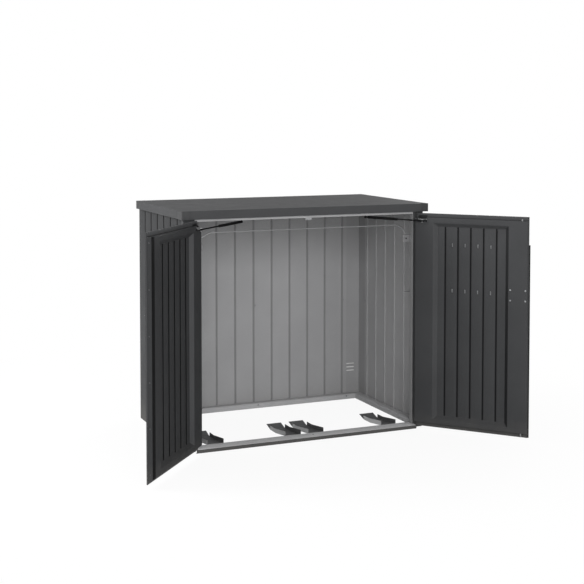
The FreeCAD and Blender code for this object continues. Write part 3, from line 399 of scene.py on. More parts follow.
def powder_coat(name, colour, roughness=0.42, specular=0.5, coat=0.1, dust=0.35, band=None):
    """Even colour with slow mottling, a fine sparkle, orange peel, dust near the ground and painted shade
    by the grooves. band holds what groove_shade_band needs: way, first groove, pitch, strength and its two
    distances."""
    material, nodes, links, shader = new_material(name, colour, roughness, 0.0, specular, coat)
    slow = spread(nodes, links, noise_of(nodes, links, 5.0, 3.0), 0.3, 0.7)
    body = blend_colour(nodes, links, slow, tint(colour, 0.95), tint(colour, 1.05))
    spark = spread(nodes, links, noise_of(nodes, links, 5200.0, 0.0), 0.66, 0.78, 0.0, 0.5)
    body = blend_colour(nodes, links, spark, body, tint(colour, 2.2))
    where = nodes.new("ShaderNodeTexCoord")
    split = nodes.new("ShaderNodeSeparateXYZ")
    links.new(where.outputs["Object"], split.inputs["Vector"])
    ragged = nodes.new("ShaderNodeMath")
    ragged.operation = "MULTIPLY_ADD"
    links.new(noise_of(nodes, links, 22.0, 4.0), ragged.inputs[0])
    ragged.inputs[1].default_value = -0.12
    links.new(split.outputs["Z"], ragged.inputs[2])
    low = spread(nodes, links, ragged.outputs["Value"], -0.06, 0.07, dust, 0.0)
    body = blend_colour(nodes, links, low, body, tint((0.20, 0.19, 0.175), 0.6 + 2 * colour[0]))
    # painted shade: the colour is darkened in a band along the grooves
    if band:
        body = blend_colour(nodes, links, groove_shade_band(nodes, links, *band), body, tint(colour, 0.12))
    links.new(body, shader.inputs["Base Color"])
    cloudy = noise_of(nodes, links, 14.0, 3.0)
    rough = spread(nodes, links, cloudy, 0.3, 0.7, roughness - 0.03, roughness + 0.04)
    links.new(rough, shader.inputs["Roughness"])
    add_bump(nodes, links, shader, noise_of(nodes, links, 700.0, 1.0), 0.12, 0.0002)
    return material


DARK = powder_coat("dark_coat", (0.046, 0.0468, 0.0486), 0.55, 0.14, 0.0)
print("nodes in one powder coat:", len(DARK.node_tree.nodes))

# %% [markdown]
# ## Zinc and mouldings
# Galvanised steel shows its crystals: cells a few millimetres wide, each a little lighter or darker
# and a little duller than the next, under fine drawn lines. Moulded plastic and rubber have one
# colour and a fine leathery grain.

# %% Zinc and mouldings
def zinc(name, colour, roughness=0.36, grain=None, spangle=160.0, painted_above=None):
    """Galvanised steel: cells of zinc crystal a few millimetres wide, each a little lighter or
    darker and a little duller, under fine drawn lines along the grain. painted_above is a height
    in metres from which the steel wears the dark coat."""
    material, nodes, links, shader = new_material(name, colour, roughness, 0.85, 0.5)
    where = nodes.new("ShaderNodeTexCoord")
    cells = nodes.new("ShaderNodeTexVoronoi")
    cells.inputs["Scale"].default_value = spangle
    links.new(where.outputs["Object"], cells.inputs["Vector"])
    split = nodes.new("ShaderNodeSeparateColor")
    links.new(cells.outputs["Color"], split.inputs["Color"])
    body = blend_colour(nodes, links, split.outputs["Red"], tint(colour, 0.86), tint(colour, 1.1))
    if painted_above:
        place = nodes.new("ShaderNodeSeparateXYZ")
        links.new(where.outputs["Object"], place.inputs["Vector"])
        high = spread(nodes, links, place.outputs["Z"], painted_above - 0.0003, painted_above + 0.0003)
        body = blend_colour(nodes, links, high, body, (0.03, 0.031, 0.032))
    links.new(body, shader.inputs["Base Color"])
    rough = spread(nodes, links, split.outputs["Green"], 0.0, 1.0, roughness - 0.05, roughness + 0.07)
    links.new(rough, shader.inputs["Roughness"])
    lines = noise_of(nodes, links, 400.0, 2.0, grain or (1.0, 1.0, 0.08))
    add_bump(nodes, links, shader, lines, 0.08, 0.0001)
    return material


def moulded(name, colour, roughness=0.55, grain=1500.0, strength=0.25, specular=0.4):
    """Moulded plastic or rubber: one colour with a fine leathery grain."""
    material, nodes, links, shader = new_material(name, colour, roughness, 0.0, specular)
    slow = spread(nodes, links, noise_of(nodes, links, 30.0, 3.0), 0.3, 0.7)
    body = blend_colour(nodes, links, slow, tint(colour, 0.9), tint(colour, 1.12))
    links.new(body, shader.inputs["Base Color"])
    add_bump(nodes, links, shader, noise_of(nodes, links, grain, 2.0), strength, 0.0002)
    return material


GALVANISED = zinc("galvanised", (0.25, 0.254, 0.26))
RUBBER = moulded("black_rubber", (0.004, 0.004, 0.0042), 0.75, 2200.0, 0.3, 0.12)
print("nodes in zinc and in rubber:", len(GALVANISED.node_tree.nodes), len(RUBBER.node_tree.nodes))

# %% [markdown]
# ## The paints of this store
# Outside the store is dark grey, inside it wears a light primer, and its fittings are galvanised,
# black or moulded. Several mixes of each paint are used, a little lighter or darker, where faces of
# the same paint come out unequally bright: these lit and shaded copies paint light and shade into
# the colour. A band of painted shade along the grooves is given by the direction across the
# grooves, the place of the first one and the pitch, in frame metres.

# %% Paints
ALONG_SIDE, ALONG_BACK = ((0, 1, 0), -0.304, 0.118), ((1, 0, 0), 0.0, 0.118)
# The walls' coats are a shaded copy of the dark coat, with a band of painted shade along the grooves.
WALLS = {"side": powder_coat("side_wall_shaded_coat", (0.033, 0.0337, 0.0351), 0.58, 0.1, 0.0,
                              band=ALONG_SIDE + (1.0, 0.005, 0.012)),
         "back": powder_coat("back_wall_shaded_coat", (0.033, 0.0337, 0.0351), 0.58, 0.1, 0.0,
                              band=ALONG_BACK + (1.0,))}
# SHADED is near black painted shade for the faces inside grooves.
SHADED = powder_coat("groove_painted_shade", (0.003, 0.003, 0.0032), 0.9, 0.0, 0.0, dust=0.05)
# The two leaves wear one paint; the left mix is darker and the right one lighter: painted shade and painted
# light.
LINER_LIT_AND_SHADED_COLOUR = {"left": (0.029, 0.0296, 0.0308), "right": (0.0425, 0.0433, 0.045)}
# Near black painted shade for the liners' groove faces, and the strength of the band of painted shade beside
# them.
GROOVE_SHADE_COLOUR = {"left": (0.002, 0.002, 0.0021), "right": (0.013, 0.0132, 0.0138)}
GROOVE_SHADE_STRENGTH = {"left": 1.0, "right": 0.35}
LIGHT = powder_coat("light_primer", (0.36, 0.36, 0.365), 0.55, 0.35, 0.0, dust=0.15)
# A darker copy of the primer: painted shade on the posts' faces towards the doorway.
POST_LIGHT = powder_coat("post_shaded_primer", (0.25, 0.25, 0.254), 0.6, 0.2, 0.0, dust=0.15)
CLIP_LIGHT = powder_coat("clip_primer", (0.165, 0.165, 0.168), 0.55, 0.2, 0.0, dust=0.0)
# The linings are lighter and darker copies of the primer, painted light and shade; the back one also paints
# shade in a band at the feet of the ribs that its grooves make inside.
LININGS = {"side": powder_coat("side_primer", (0.35, 0.35, 0.355), 0.55, 0.35, 0.0, dust=0.15),
           "back": powder_coat("back_primer_painted_shade", (0.315, 0.315, 0.32), 0.55, 0.35, 0.0, 0.15,
                               ALONG_BACK + (0.38,))}
CORNER = powder_coat("corner_coat", (0.033, 0.0337, 0.0351), 0.58, 0.1, 0.0)
CORNER_LIGHT = powder_coat("corner_primer", (0.285, 0.285, 0.289), 0.55, 0.35, 0.0, dust=0.15)
BRIGHT_PRIMER = powder_coat("bright_primer", (0.58, 0.58, 0.585), 0.45, 0.4, 0.0, dust=0.0)
# A far lighter copy of the primer: a painted highlight on the vents' lips.
LIP = powder_coat("vent_lip_painted_highlight", (0.70, 0.70, 0.705), 0.5, 0.35, 0.0, dust=0.0)
RAIL_LIGHT = powder_coat("rail_primer", (0.40, 0.40, 0.405), 0.45, 0.4, 0.0, dust=0.0)
CRADLE = powder_coat("cradle_coat", (0.095, 0.096, 0.099), 0.45, 0.35, 0.0, dust=0.1)
STRIP = powder_coat("strip_coat", (0.009, 0.0092, 0.0096), 0.55, 0.2, 0.0, dust=0.1)
BLACK = powder_coat("black_enamel", (0.004, 0.004, 0.0042), 0.5, 0.07, 0.0, dust=0.0)
ZINC_PLATE = zinc("zinc_plate", (0.30, 0.304, 0.31), 0.42)
HALF_PAINTED = zinc("half_painted_bracket", (0.46, 0.465, 0.47), 0.38, painted_above=1.1885)
RIVET = zinc("painted_rivet", (0.065, 0.066, 0.068), 0.42)
BRIGHT_WIRE = zinc("drawn_wire", (0.28, 0.283, 0.287), 0.42, (0.1, 1.0, 0.1), 400.0)
CAP_PLASTIC = moulded("cap_plastic", (0.029, 0.0296, 0.031), 0.52, 1800.0, 0.15)
print("materials:", len(bpy.data.materials))

# %% [markdown]
# ## Wall sheets
# Each wall sheet has shallow grooves pressed every 118 mm. They stiffen the thin steel and hide the
# laps: at a lap the groove runs on as a tongue behind the next sheet, with 0.3 mm between the two. A
# path of (distance along the sheet, depth) pairs holds all of that, so the whole wall is one carried
# path. Outside it wears a shaded copy of the dark coat, with painted shade: near black on the grooves'
# own faces and a dark band beside them. Inside it wears only the light primer.

# %% Grooves and tongues
SHEET, MOUTH, FLOOR, PRESSED, LAP, REST = 1.0, 4.0, 1.5, 3.0, 30.0, 0.3
WALL_LOW, RETURN_Y, RETURN = 1.0, 37.3, 12.0
LAST_SIDE = 100.0 + 5 * PITCH
LAST_BACK = 5 * PITCH


def groove(centre):
    """The four corners of one pressed groove, as (distance along, depth)."""
    return [(centre - MOUTH, 0), (centre - FLOOR, PRESSED), (centre + FLOOR, PRESSED), (centre + MOUTH, 0)]


def tongue(centre, way):
    """A groove that runs on behind the next sheet, towards +1 or -1."""
    behind = SHEET + REST
    path = [(-MOUTH, 0), (-FLOOR, PRESSED), (FLOOR, PRESSED), (MOUTH, behind), (LAP, behind)]
    return [(centre + way * s, depth) for s, depth in path][::way]


def grooves(first, count):
    """Grooves at the walls' pitch, joined into one path."""
    return [point for k in range(count) for point in groove(first + k * PITCH)]


print("a lap's tongue:", tongue(0, 1))

# %% Wall sheets
def lining(middles, normals):
    """Paint 1, the light one, on faces that look towards the middle of the store, and paint 2, the near
    black painted shade, on outward faces that lie more than 0.4 mm behind the outer face of their wall."""
    at_side = middles[:, 1] < 0.3
    inwards = -(normals[:, 0] * np.sign(middles[:, 0]) * (abs(middles[:, 0]) > 0.69)
                + normals[:, 1] * (middles[:, 1] > 0.39))
    behind = np.where(at_side, HALF_W * 0.001 - abs(middles[:, 0]), DEPTH * 0.0005 - middles[:, 1])
    return np.where(inwards > 0.15, 1, np.where((inwards < -0.15) & (behind > 0.0004), 2, 0))


side_path = [(RETURN_Y, RETURN), (RETURN_Y, 0)] + grooves(100, 5) + tongue(LAST_SIDE, 1)
side_path = [(HALF_W - depth, s) for s, depth in side_path]
left_back_path = [(s, DEPTH - depth) for s, depth in
                  tongue(-LAST_BACK, -1) + grooves(-4 * PITCH, 4) + tongue(0, 1)]
right_back_path = [(s, DEPTH - depth) for s, depth in
                   [(4.3, 0)] + grooves(PITCH, 4) + tongue(LAST_BACK, 1)]
walls = (("right_side_panel", side_path, SHEET, on_body),
         ("left_side_panel", side_path, SHEET, mirrored),
         ("left_back_panel", left_back_path, -SHEET, on_body),
         ("right_back_panel", right_back_path, -SHEET, on_body))
for node, path, thickness, place in walls:
    at = "side" if "side" in node else "back"
    wall = put_mesh("sheet_" + node, [sheet(path, thickness, WALL_LOW, WALL_TOP, bend=1.2)], place,
                    [WALLS[at], LININGS[at], SHADED], lining)
    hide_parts(node)
    print(node, "faces:", len(wall.data.polygons))

# %% [markdown]
# ## Rear corners with their vents
# The rear corner is one sheet with one bend, and three slots low in its back let the damp air out.
# The slots are cut by building the sheet in bands: full bands above and
# below, and for each slot row the sheet left and right of the slot. Behind each slot a lip
# slopes down into the store and keeps the rain out. It wears a far lighter paint than the wall: a painted
# highlight.

# %% Corner sheets
VENT_X, VENT_W, VENT_H, VENT_Z = 623.0, 50.0, 6.0, (169.0, 190.5, 212.0)
start = MOUTH + REST
corner_path = [(HALF_W, LAST_SIDE + start), (HALF_W, DEPTH), (LAST_BACK + start, DEPTH)]
levels = [WALL_LOW] + [z + s * VENT_H / 2 for z in VENT_Z for s in (-1, 1)] + [WALL_TOP]
corner_shells = [sheet(corner_path, SHEET, low, high, bend=2.5)
                 for low, high in zip(levels[::2], levels[1::2])]
for z in VENT_Z:
    z0, z1 = z - VENT_H / 2, z + VENT_H / 2
    corner_shells.append(sheet(corner_path[:2] + [(VENT_X + VENT_W, DEPTH)], SHEET, z0, z1, bend=2.5))
    corner_shells.append(sheet([(VENT_X, DEPTH), corner_path[2]], SHEET, z0, z1))
    lip = [(DEPTH - 0.1, z1 + 0.2), (DEPTH - 0.1, z1 - 0.8), (DEPTH - 5.0, z0)]
    corner_shells.append(sheet(lip, 0.8, VENT_X, VENT_X + VENT_W, "yzx", 0.8))


def corner_paint(middles, normals):
    """Light on the inside, as on the walls, and paint 2, a painted highlight, on the sloping lips behind the
    vents.
    """
    on_lip = (abs(middles[:, 0]) < 0.674) & (normals[:, 1] < -0.3) & (normals[:, 2] > 0.2)
    return np.where(on_lip, 2, lining(middles, normals) == 1)


for node, place in (("right_corner_panel", on_body), ("left_corner_panel", mirrored)):
    corner = put_mesh("sheet_" + node, corner_shells, place, [CORNER, CORNER_LIGHT, LIP], corner_paint)
    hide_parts(node)
print("one corner sheet is made of", len(corner_shells), "shells")

# %% [markdown]
# ## Posts, sill and header
# The front posts are folded channels, dark outside and light on the faces that look into the
# store. The sill is a flat folded section: people step on it, so it is low and its edges are
# rounded. Its front half runs on in front of the posts, its back half fits between them. The
# header is a light channel behind the roof's fascia. A bolt of the lock goes into a hole in each of
# the two. There the sheet is built left and right of the hole, in a strip before and behind it, and
# as a small square plate with the round hole.

# %% Posts
def post_paint(middles, normals):
    """Paint 1, a shaded copy of the primer, on the face that looks at the doorway and on everything behind
    the front.
    """
    to_doorway = -normals[:, 0] * np.sign(middles[:, 0]) > 0.5
    return to_doorway | (normals[:, 1] > 0.5)


POST_DEPTH, POST_LIP = 37.0, 18.0
post_path = [(POST_IN + POST_LIP, POST_DEPTH), (POST_IN, POST_DEPTH), (POST_IN, 0), (HALF_W, 0),
             (HALF_W, POST_DEPTH), (HALF_W - POST_LIP, POST_DEPTH)]
for node, place in (("right_front_post", on_body), ("left_front_post", mirrored)):
    post = put_mesh("folded_" + node, [sheet(post_path, 1.5, 0.0, WALL_TOP, bend=2.0)], place,
                    [DARK, POST_LIGHT], post_paint)
    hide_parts(node)
print("a post's path has", len(post_path), "points")

# %% Sill and header
BOLT_X, BOLT_Y, BOLT_HOLE, AROUND = HINGE_X - 617.3, HINGE_Y + 31.0, 5.0, 6.0
SILL_TOP, SILL_HALF, HEADER_LOW, HEADER_BACK, FIT_HALF = 20.0, 652.0, 1211.0, 50.0, 644.2


def pierced(x, y, low, high, sides=32):
    """A square plate with a round hole. At angle t the hole's rim is radius * (cos t, sin t), and
    the square's edge is half * (cos t, sin t) / max(|cos t|, |sin t|)."""
    t = np.arange(sides) * 2 * np.pi / sides
    way = np.c_[np.cos(t), np.sin(t)]
    rim, edge = BOLT_HOLE * way, AROUND * way / abs(way).max(1, keepdims=True)
    rings = [np.c_[ring + (x, y), np.full(sides, z)] for z in (low, high) for ring in (rim, edge)]
    i = np.arange(sides)
    j = (i + 1) % sides
    joins = ((0, 1), (1, 3), (3, 2), (2, 0))
    faces = [np.c_[a * sides + i, b * sides + i, b * sides + j, a * sides + j] for a, b in joins]
    return np.vstack(rings), np.vstack(faces).tolist()


def bored(path, split, thickness, half_length, bend=2.0):
    """A folded sheet along x with the lock bolt's hole in the flat before corner number split: the
    sheet left and right of the hole, its two strips beside the hole, and the pierced plate."""
    level = path[split][1]
    low, high = sorted((level, level + thickness))
    x0, x1, y0, y1 = BOLT_X - AROUND, BOLT_X + AROUND, BOLT_Y - AROUND, BOLT_Y + AROUND
    return [sheet(path, thickness, -half_length, x0, "yzx", bend),
            sheet(path, thickness, x1, half_length, "yzx", bend),
            sheet(path[:split] + [(y0, level)], thickness, x0, x1, "yzx", bend),
            sheet([(y1, level)] + path[split:], thickness, x0, x1, "yzx", bend),
            pierced(BOLT_X, BOLT_Y, low, high)]


front_half = [(-28, 0), (-40, 0), (-40, SILL_TOP), (-0.3, SILL_TOP)]
back_half = [(-0.3, SILL_TOP), (44, SILL_TOP), (44, 0), (32, 0)]
# The faces that look up wear the bright primer, the rest the dark coat: painted light on the sill's top.
sill = put_mesh("folded_sill", [sheet(front_half, -1.5, -SILL_HALF, SILL_HALF, "yzx", 6.0, 8)]
                + bored(back_half, 1, -1.5, FIT_HALF), on_body,
                [DARK, BRIGHT_PRIMER], lambda middles, normals: normals[:, 2] > 0.85)
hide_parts("front_sill")
header_path = [(12, FRAME_TOP), (0, FRAME_TOP), (0, HEADER_LOW), (HEADER_BACK, HEADER_LOW),
               (HEADER_BACK, FRAME_TOP), (38, FRAME_TOP)]
header = put_mesh("folded_header", bored(header_path, 3, 1.5, FIT_HALF), on_body, [LIGHT])
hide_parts("header_rail")
print("sill and header faces:", len(sill.data.polygons), len(header.data.polygons))

# %% [markdown]
# ## Floor rails
# The floor rails are closed sections with a bevelled inner edge, so that a bin's wheel that
# touches them rides off again. A closed section needs no second face: only its outside is seen,
# and its ends stand against other pieces.

# %% Floor rails
RAIL_H, BEVEL_Z, RAIL_OUT, REAR_OUT, REAR_IN = 30.0, 24.0, 703.7, 803.7, 758.0
RAIL_START, RAIL_END, RAIL_BEND = 38.6, 757.7, 2.0
floor_side = [(660, 0), (RAIL_OUT, 0), (RAIL_OUT, RAIL_H), (666, RAIL_H), (660, BEVEL_Z)]
floor_rear = [(REAR_IN, 0), (REAR_IN, BEVEL_Z), (764, RAIL_H), (REAR_OUT, RAIL_H), (REAR_OUT, 0)]
side_section = slab(floor_side, RAIL_START, RAIL_END, "xzy", RAIL_BEND)
rails = (("right_floor_rail", side_section, on_body),
         ("left_floor_rail", side_section, mirrored),
         ("rear_floor_rail", slab(floor_rear, -RAIL_OUT, RAIL_OUT, "yzx", RAIL_BEND), on_body))
for node, shell, place in rails:
    rail = put_mesh("section_" + node, [shell], place, [RAIL_LIGHT])
    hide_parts(node)
print("floor rails:", len(rails))

# %% [markdown]
# ## Roof
# The roof is one sheet, folded down at all four sides into a 45 mm fascia and hemmed at the
# bottom. At the corners a folded fascia would need a weld, so the maker leaves it out and slips a
# moulded cap under the top sheet instead. Here the four straight folds are carried strips, and the
# flat field between them is one plate whose outline steps out to the edge at the corners.

# %% Roof sheet
ROOF_X, ROOF_FRONT, ROOF_BACK, FASCIA_LOW = HALF_W + 17.0, -31.0, DEPTH + 5.0, 1225.0
CAP_FRONT, CAP_REAR, CAP_SIDE, SEAM, EDGE_IN = 42.0, 52.0, 75.0, 0.5, 14.0
HEM, REAR_HEM = 12.0, 3.5


def flipped(shell):
    """The same shell on the other side of the middle plane."""
    points, faces = shell
    return points * [-1, 1, 1], faces


def fascia(outer, inwards, hem):
    """The bent edge of one roof fold: top, fascia and the hem at its foot."""
    return [(outer + EDGE_IN * inwards, ROOF_TOP), (outer, ROOF_TOP), (outer, FASCIA_LOW),
            (outer + hem * inwards, FASCIA_LOW)]


front_end, rear_end = ROOF_X - CAP_FRONT, ROOF_X - CAP_REAR
side_start, side_end = ROOF_FRONT + CAP_SIDE, ROOF_BACK - CAP_SIDE
side_fold = sheet(fascia(ROOF_X, -1, HEM), -1.0, side_start, side_end, "xzy", 2.5, 6)
half = []
for corner, reach, y in ((CAP_FRONT, EDGE_IN, ROOF_FRONT), (CAP_REAR, -EDGE_IN, ROOF_BACK)):
    way = 1 if reach > 0 else -1
    half += [[(ROOF_X - corner, y + reach), (ROOF_X - corner, y), (ROOF_X, y), (ROOF_X, y + way * CAP_SIDE),
              (ROOF_X - EDGE_IN, y + way * CAP_SIDE)]]
rounded = [np.vstack([piece[:1], soften(piece[1:4], 3.0, 6), piece[4:]]) for piece in half]
right_edge = np.vstack([rounded[0], rounded[1][::-1]])
field = np.vstack([right_edge, right_edge[::-1] * [-1, 1]])
front_fold = sheet(fascia(ROOF_FRONT, 1, HEM), 1.0, -front_end, front_end, "yzx", 2.5, 6)
rear_fold = sheet(fascia(ROOF_BACK, -1, REAR_HEM), -1.0, -rear_end, rear_end, "yzx", 2.5, 6)
roof_shells = [slab(field, ROOF_TOP - 1, ROOF_TOP), side_fold, flipped(side_fold), front_fold, rear_fold]
roof = put_mesh("folded_roof", roof_shells, on_body, [DARK])
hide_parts("roof_panel")
print("roof faces:", len(roof.data.polygons))

# %% Corner caps
CAP_SHEET = 2.0
front_cap = [sheet([(front_end + SEAM, ROOF_FRONT), (ROOF_X, ROOF_FRONT), (ROOF_X, side_start - SEAM)],
                   CAP_SHEET, FASCIA_LOW, FRAME_TOP, bend=3.0, steps=8),
             slab([(front_end + SEAM, ROOF_FRONT + CAP_SHEET), (ROOF_X - CAP_SHEET, ROOF_FRONT + CAP_SHEET),
                   (ROOF_X - CAP_SHEET, side_start - SEAM), (ROOF_X - HEM, side_start - SEAM),
                   (ROOF_X - HEM, ROOF_FRONT + HEM), (front_end + SEAM, ROOF_FRONT + HEM)],
                  FASCIA_LOW, FASCIA_LOW + CAP_SHEET)]
rear_cap = [sheet([(ROOF_X, side_end + SEAM), (ROOF_X, ROOF_BACK), (rear_end + SEAM, ROOF_BACK)],
                  CAP_SHEET, FASCIA_LOW, FRAME_TOP, bend=3.0, steps=8),
            slab([(ROOF_X - HEM, side_end + SEAM), (ROOF_X - CAP_SHEET, side_end + SEAM),
                  (ROOF_X - CAP_SHEET, ROOF_BACK - CAP_SHEET), (rear_end + SEAM, ROOF_BACK - CAP_SHEET),
                  (rear_end + SEAM, ROOF_BACK - REAR_HEM), (ROOF_X - HEM, ROOF_BACK - REAR_HEM)],
                 FASCIA_LOW, FASCIA_LOW + CAP_SHEET)]
for node, shells in (("roof_front_caps", front_cap), ("roof_rear_caps", rear_cap)):
    cap = put_mesh("moulded_" + node, shells + [flipped(shell) for shell in shells], on_body, [CAP_PLASTIC])
    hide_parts(node)
    print(node, "faces:", len(cap.data.polygons))

# %% [markdown]
# ## Door skins
# Each leaf has an outer skin, a shallow tray only 7 mm deep. Its front repeats the grooves of the
# walls, so that the closed doors look like another wall. The sides are part of the carried path;
# the top and bottom are folded over separately and lie between them.

# %% Door skins
D0, D1, OUT, IN = 11.4, 650.9, 12.1, 19.1
DOOR_LOW, DOOR_HIGH, BAND = 22.2, 1219.8, 20.0
skin_path = [(D1 - 6, IN), (D1, IN), (D1, OUT)]
for k in range(1, 6):
    skin_path += [(s, OUT + depth) for s, depth in groove(HINGE_X - k * PITCH)[::-1]]
skin_path += [(D0, OUT), (D0, IN), (D0 + 6, IN)]
head = [(IN, DOOR_HIGH - BAND), (IN, DOOR_HIGH), (OUT + 1, DOOR_HIGH)]
foot = [(IN, DOOR_LOW + BAND), (IN, DOOR_LOW), (OUT + 1, DOOR_LOW)]


def in_skin_groove(middles, normals, side):
    """Faces that look outwards from behind the outer face of the skin, between its two edges; they get
    painted shade.
    """
    n, looks = across(middles, side), across(middles + 0.001 * normals, side) - across(middles, side)
    return (looks < -0.15) & (n > OUT + 0.4) & (n < OUT + 3.5)


skin_shells = [sheet(skin_path, -1.0, DOOR_LOW, DOOR_HIGH, bend=1.6),
               sheet(head, 1.0, D0 + 1, D1 - 1, "yzx", 1.6), sheet(foot, -1.0, D0 + 1, D1 - 1, "yzx", 1.6)]
for side, place, sign in (("left", on_left, -1), ("right", on_right, 1)):
    # Paint 1 on the skin's groove faces is near black painted shade.
    skin = put_mesh("tray_%s_door_skin" % side, skin_shells, place, [DARK, SHADED], body=side + "_door",
                    choose=lambda middles, normals: in_skin_groove(middles, normals, sign))
    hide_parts(side + "_door_skin")
print("door skin path points:", len(skin_path))

# %% [markdown]
# ## Door liners
# The liner is pressed from one sheet: a raised rim, a sloping wall all round, and a lower field
# with five grooves. A press makes it as a height over the plane, so it is modelled the same way: a
# height n at each (d, z). The slope is the smallest of the four distances to the rim, cut off softly
# at both ends, and each groove is one more dip.

# %% Height of the liner's face
L1, L_LOW, L_HIGH, FACE, L_BACK = 649.4, 47.2, 1198.7, 42.8, 19.4
R0, R1, R_LOW, R_HIGH, DROP, RUN_D, RUN_Z = 116.9, 545.4, 73.0, 1169.0, 19.0, 20.5, 20.0
GROOVES = 182.0 + 73.0 * np.arange(5)
SLOTS = GROOVES[:4] + 39.5
SLOT_ROWS = np.array([796.0, 1049.0])
NOTCH_D, NOTCH_Z, FOLD = 80.0, 1173.0, 2.5
DIP_HALF, DIP_RUN, DIP_DEPTH, DIP_END = 4.0, 1.5, 4.0, 5.0


def ramp(s, soft=0.1):
    """0 below 0, 1 above 1, straight between, with each kink replaced by a parabola of half
    width soft: that is the mean of the hard ramp over s - soft to s + soft."""
    def area(t):
        """The hard ramp summed from 0 to t."""
        return np.where(t < 0, 0, np.where(t < 1, t * t / 2, t - 0.5))
    return (area(s + soft) - area(s - soft)) / (2 * soft)


def liner_height(d, z):
    """The n of the liner's face at (d, z)."""
    near = np.minimum((d - R0) / RUN_D, (R1 - d) / RUN_D)
    near = np.minimum(near, np.minimum((z - R_LOW) / RUN_Z, (R_HIGH - z) / RUN_Z))
    low, high = R_LOW + RUN_Z, R_HIGH - RUN_Z
    along = ramp(np.minimum(z - low, high - z) / DIP_END)
    dip = ramp((DIP_HALF - np.min(abs(d[..., None] - GROOVES), -1)) / DIP_RUN, 0.25)
    return FACE - DROP * ramp(near) - DIP_DEPTH * dip * along


print("n on the rim, in the field and in a groove:",
      liner_height(np.array([60.0, 145.0, GROOVES[0]]), np.array([600.0, 600.0, 600.0])).round(1))

# %% [markdown]
# ## The liner's coat
# One coat is mixed five times, a little lighter or darker by where a face lies and how it leans:
# these lit and shaded copies paint light and shade. Shade is painted into the grooves: their own
# faces are the darkest, and beside them lies a band of painted shade.

# %% Coats of the liner
def liner_part(middles, normals, sign):
    """Which coat a face takes: 0 rim and folds, 1 field of the recess, 2 grooves in the field, in painted
    shade, 3 the bevel by the hinges, painted light, 4 the bevel by the free edge, painted shade. A bevel
    face leans along d."""
    n = across(middles, sign)
    x, y = middles[:, 0] * 1000 * sign, middles[:, 1] * 1000 + DEPTH / 2
    d = (HINGE_X - x) * np.cos(OPEN) - (y - HINGE_Y) * np.sin(OPEN)
    lean = -sign * normals[:, 0] * np.cos(OPEN) - normals[:, 1] * np.sin(OPEN)
    field = (n < FACE - DROP + 0.5) & (n > L_BACK - 2.0) & (d > R0 + RUN_D) & (d < R1 - RUN_D)
    part = np.where(field & (n < FACE - DROP - 0.2), 2, field)
    bevel = (n > FACE - DROP + 0.3) & (n < FACE - 0.3) & (abs(lean) > 0.3)
    part = np.where(bevel & (d > R0 - 4) & (d < R0 + RUN_D + 4), 3, part)
    return np.where(bevel & (d > R1 - RUN_D - 4) & (d < R1 + 4), 4, part)


def liner_coats(side, sign):
    """The five mixes of one liner's coat, in the order of liner_part: lit and shaded copies of one paint,
    which paint light and shade. The band of painted shade runs along the direction of d in the frame,
    and the hinge line's own place along it is taken off the first groove."""
    colour = LINER_LIT_AND_SHADED_COLOUR[side]
    way = (-sign * np.cos(OPEN), -np.sin(OPEN), 0)
    hinge = (HINGE_X * np.cos(OPEN) - (DEPTH / 2 - HINGE_Y) * np.sin(OPEN)) / 1000
    band = (way, GROOVES[0] / 1000 - hinge, 0.073, GROOVE_SHADE_STRENGTH[side])
    return [powder_coat(side + "_liner_coat", colour, 0.58, 0.1, 0.0, dust=0.2),
            # the field's coat darkens beside the grooves: painted shade
            powder_coat(side + "_field_coat_painted_shade", colour, 0.58, 0.1, 0.0, 0.2, band),
            powder_coat(side + "_groove_painted_shade", GROOVE_SHADE_COLOUR[side], 0.9, 0.02, 0.0, dust=0.05),
            # the hinge bevel wears a lighter copy, painted light, and the free bevel a darker one, painted
            # shade
            powder_coat(side + "_hinge_bevel_painted_light", (0.052, 0.0528, 0.0545), 0.58, 0.1, 0.0, dust=0.1),
            powder_coat(side + "_free_bevel_painted_shade", (0.019, 0.0194, 0.0202), 0.58, 0.05, 0.0, dust=0.1)]


coats = {side: liner_coats(side, sign) for side, sign in (("left", -1), ("right", 1))}
print("coats of one liner:", len(coats["left"]))

# %% [markdown]
# ## The liner as a grid
# The grid lines crowd where the surface bends. The folded sides go out from the edge of the grid,
# ring by ring. The upper corner by the hinges, where the gas strut is fixed, is left out, and in
# the right leaf the slots as well.

# %% Grid and folded sides
def liner_lines(slotted):
    """Sorted grid lines along d and z, close together where the surface bends. No line of z lies
    within the fold's width above the notch's inner corner, where the fold would turn over it."""
    steps = np.array([-0.1, -0.05, 0, 0.05, 0.1, 0.3, 0.5, 0.7, 0.9, 0.95, 1.0, 1.05, 1.1])
    bend = np.array([4.4, 4.2, 4.0, 3.8, 3.6, 2.9, 2.7, 2.5, 2.3, 2.1, 0])
    d = [R0 + RUN_D * steps, R1 - RUN_D * steps, [D0 + FOLD, L1 - FOLD, NOTCH_D + FOLD]]
    d += [np.r_[c - bend, c + bend[:-1]] for c in GROOVES]
    ends = np.array([-0.5, 0, 0.5, 2.5, 4.5, 5.0, 5.5])
    z = [R_LOW + RUN_Z * steps, R_HIGH - RUN_Z * steps, [L_LOW + FOLD, L_HIGH - FOLD, NOTCH_Z - FOLD],
         R_LOW + RUN_Z + ends, R_HIGH - RUN_Z - ends, np.linspace(200, 1100, 10)]
    if slotted:
        d += [SLOTS - 4.0, SLOTS + 4.0]
        z += [SLOT_ROWS - 10.5, SLOT_ROWS + 10.5]
    d, z = np.unique(np.concatenate(d).round(3)), np.unique(np.concatenate(z).round(3))
    return d, z[(z <= NOTCH_Z - FOLD) | (z >= NOTCH_Z)]


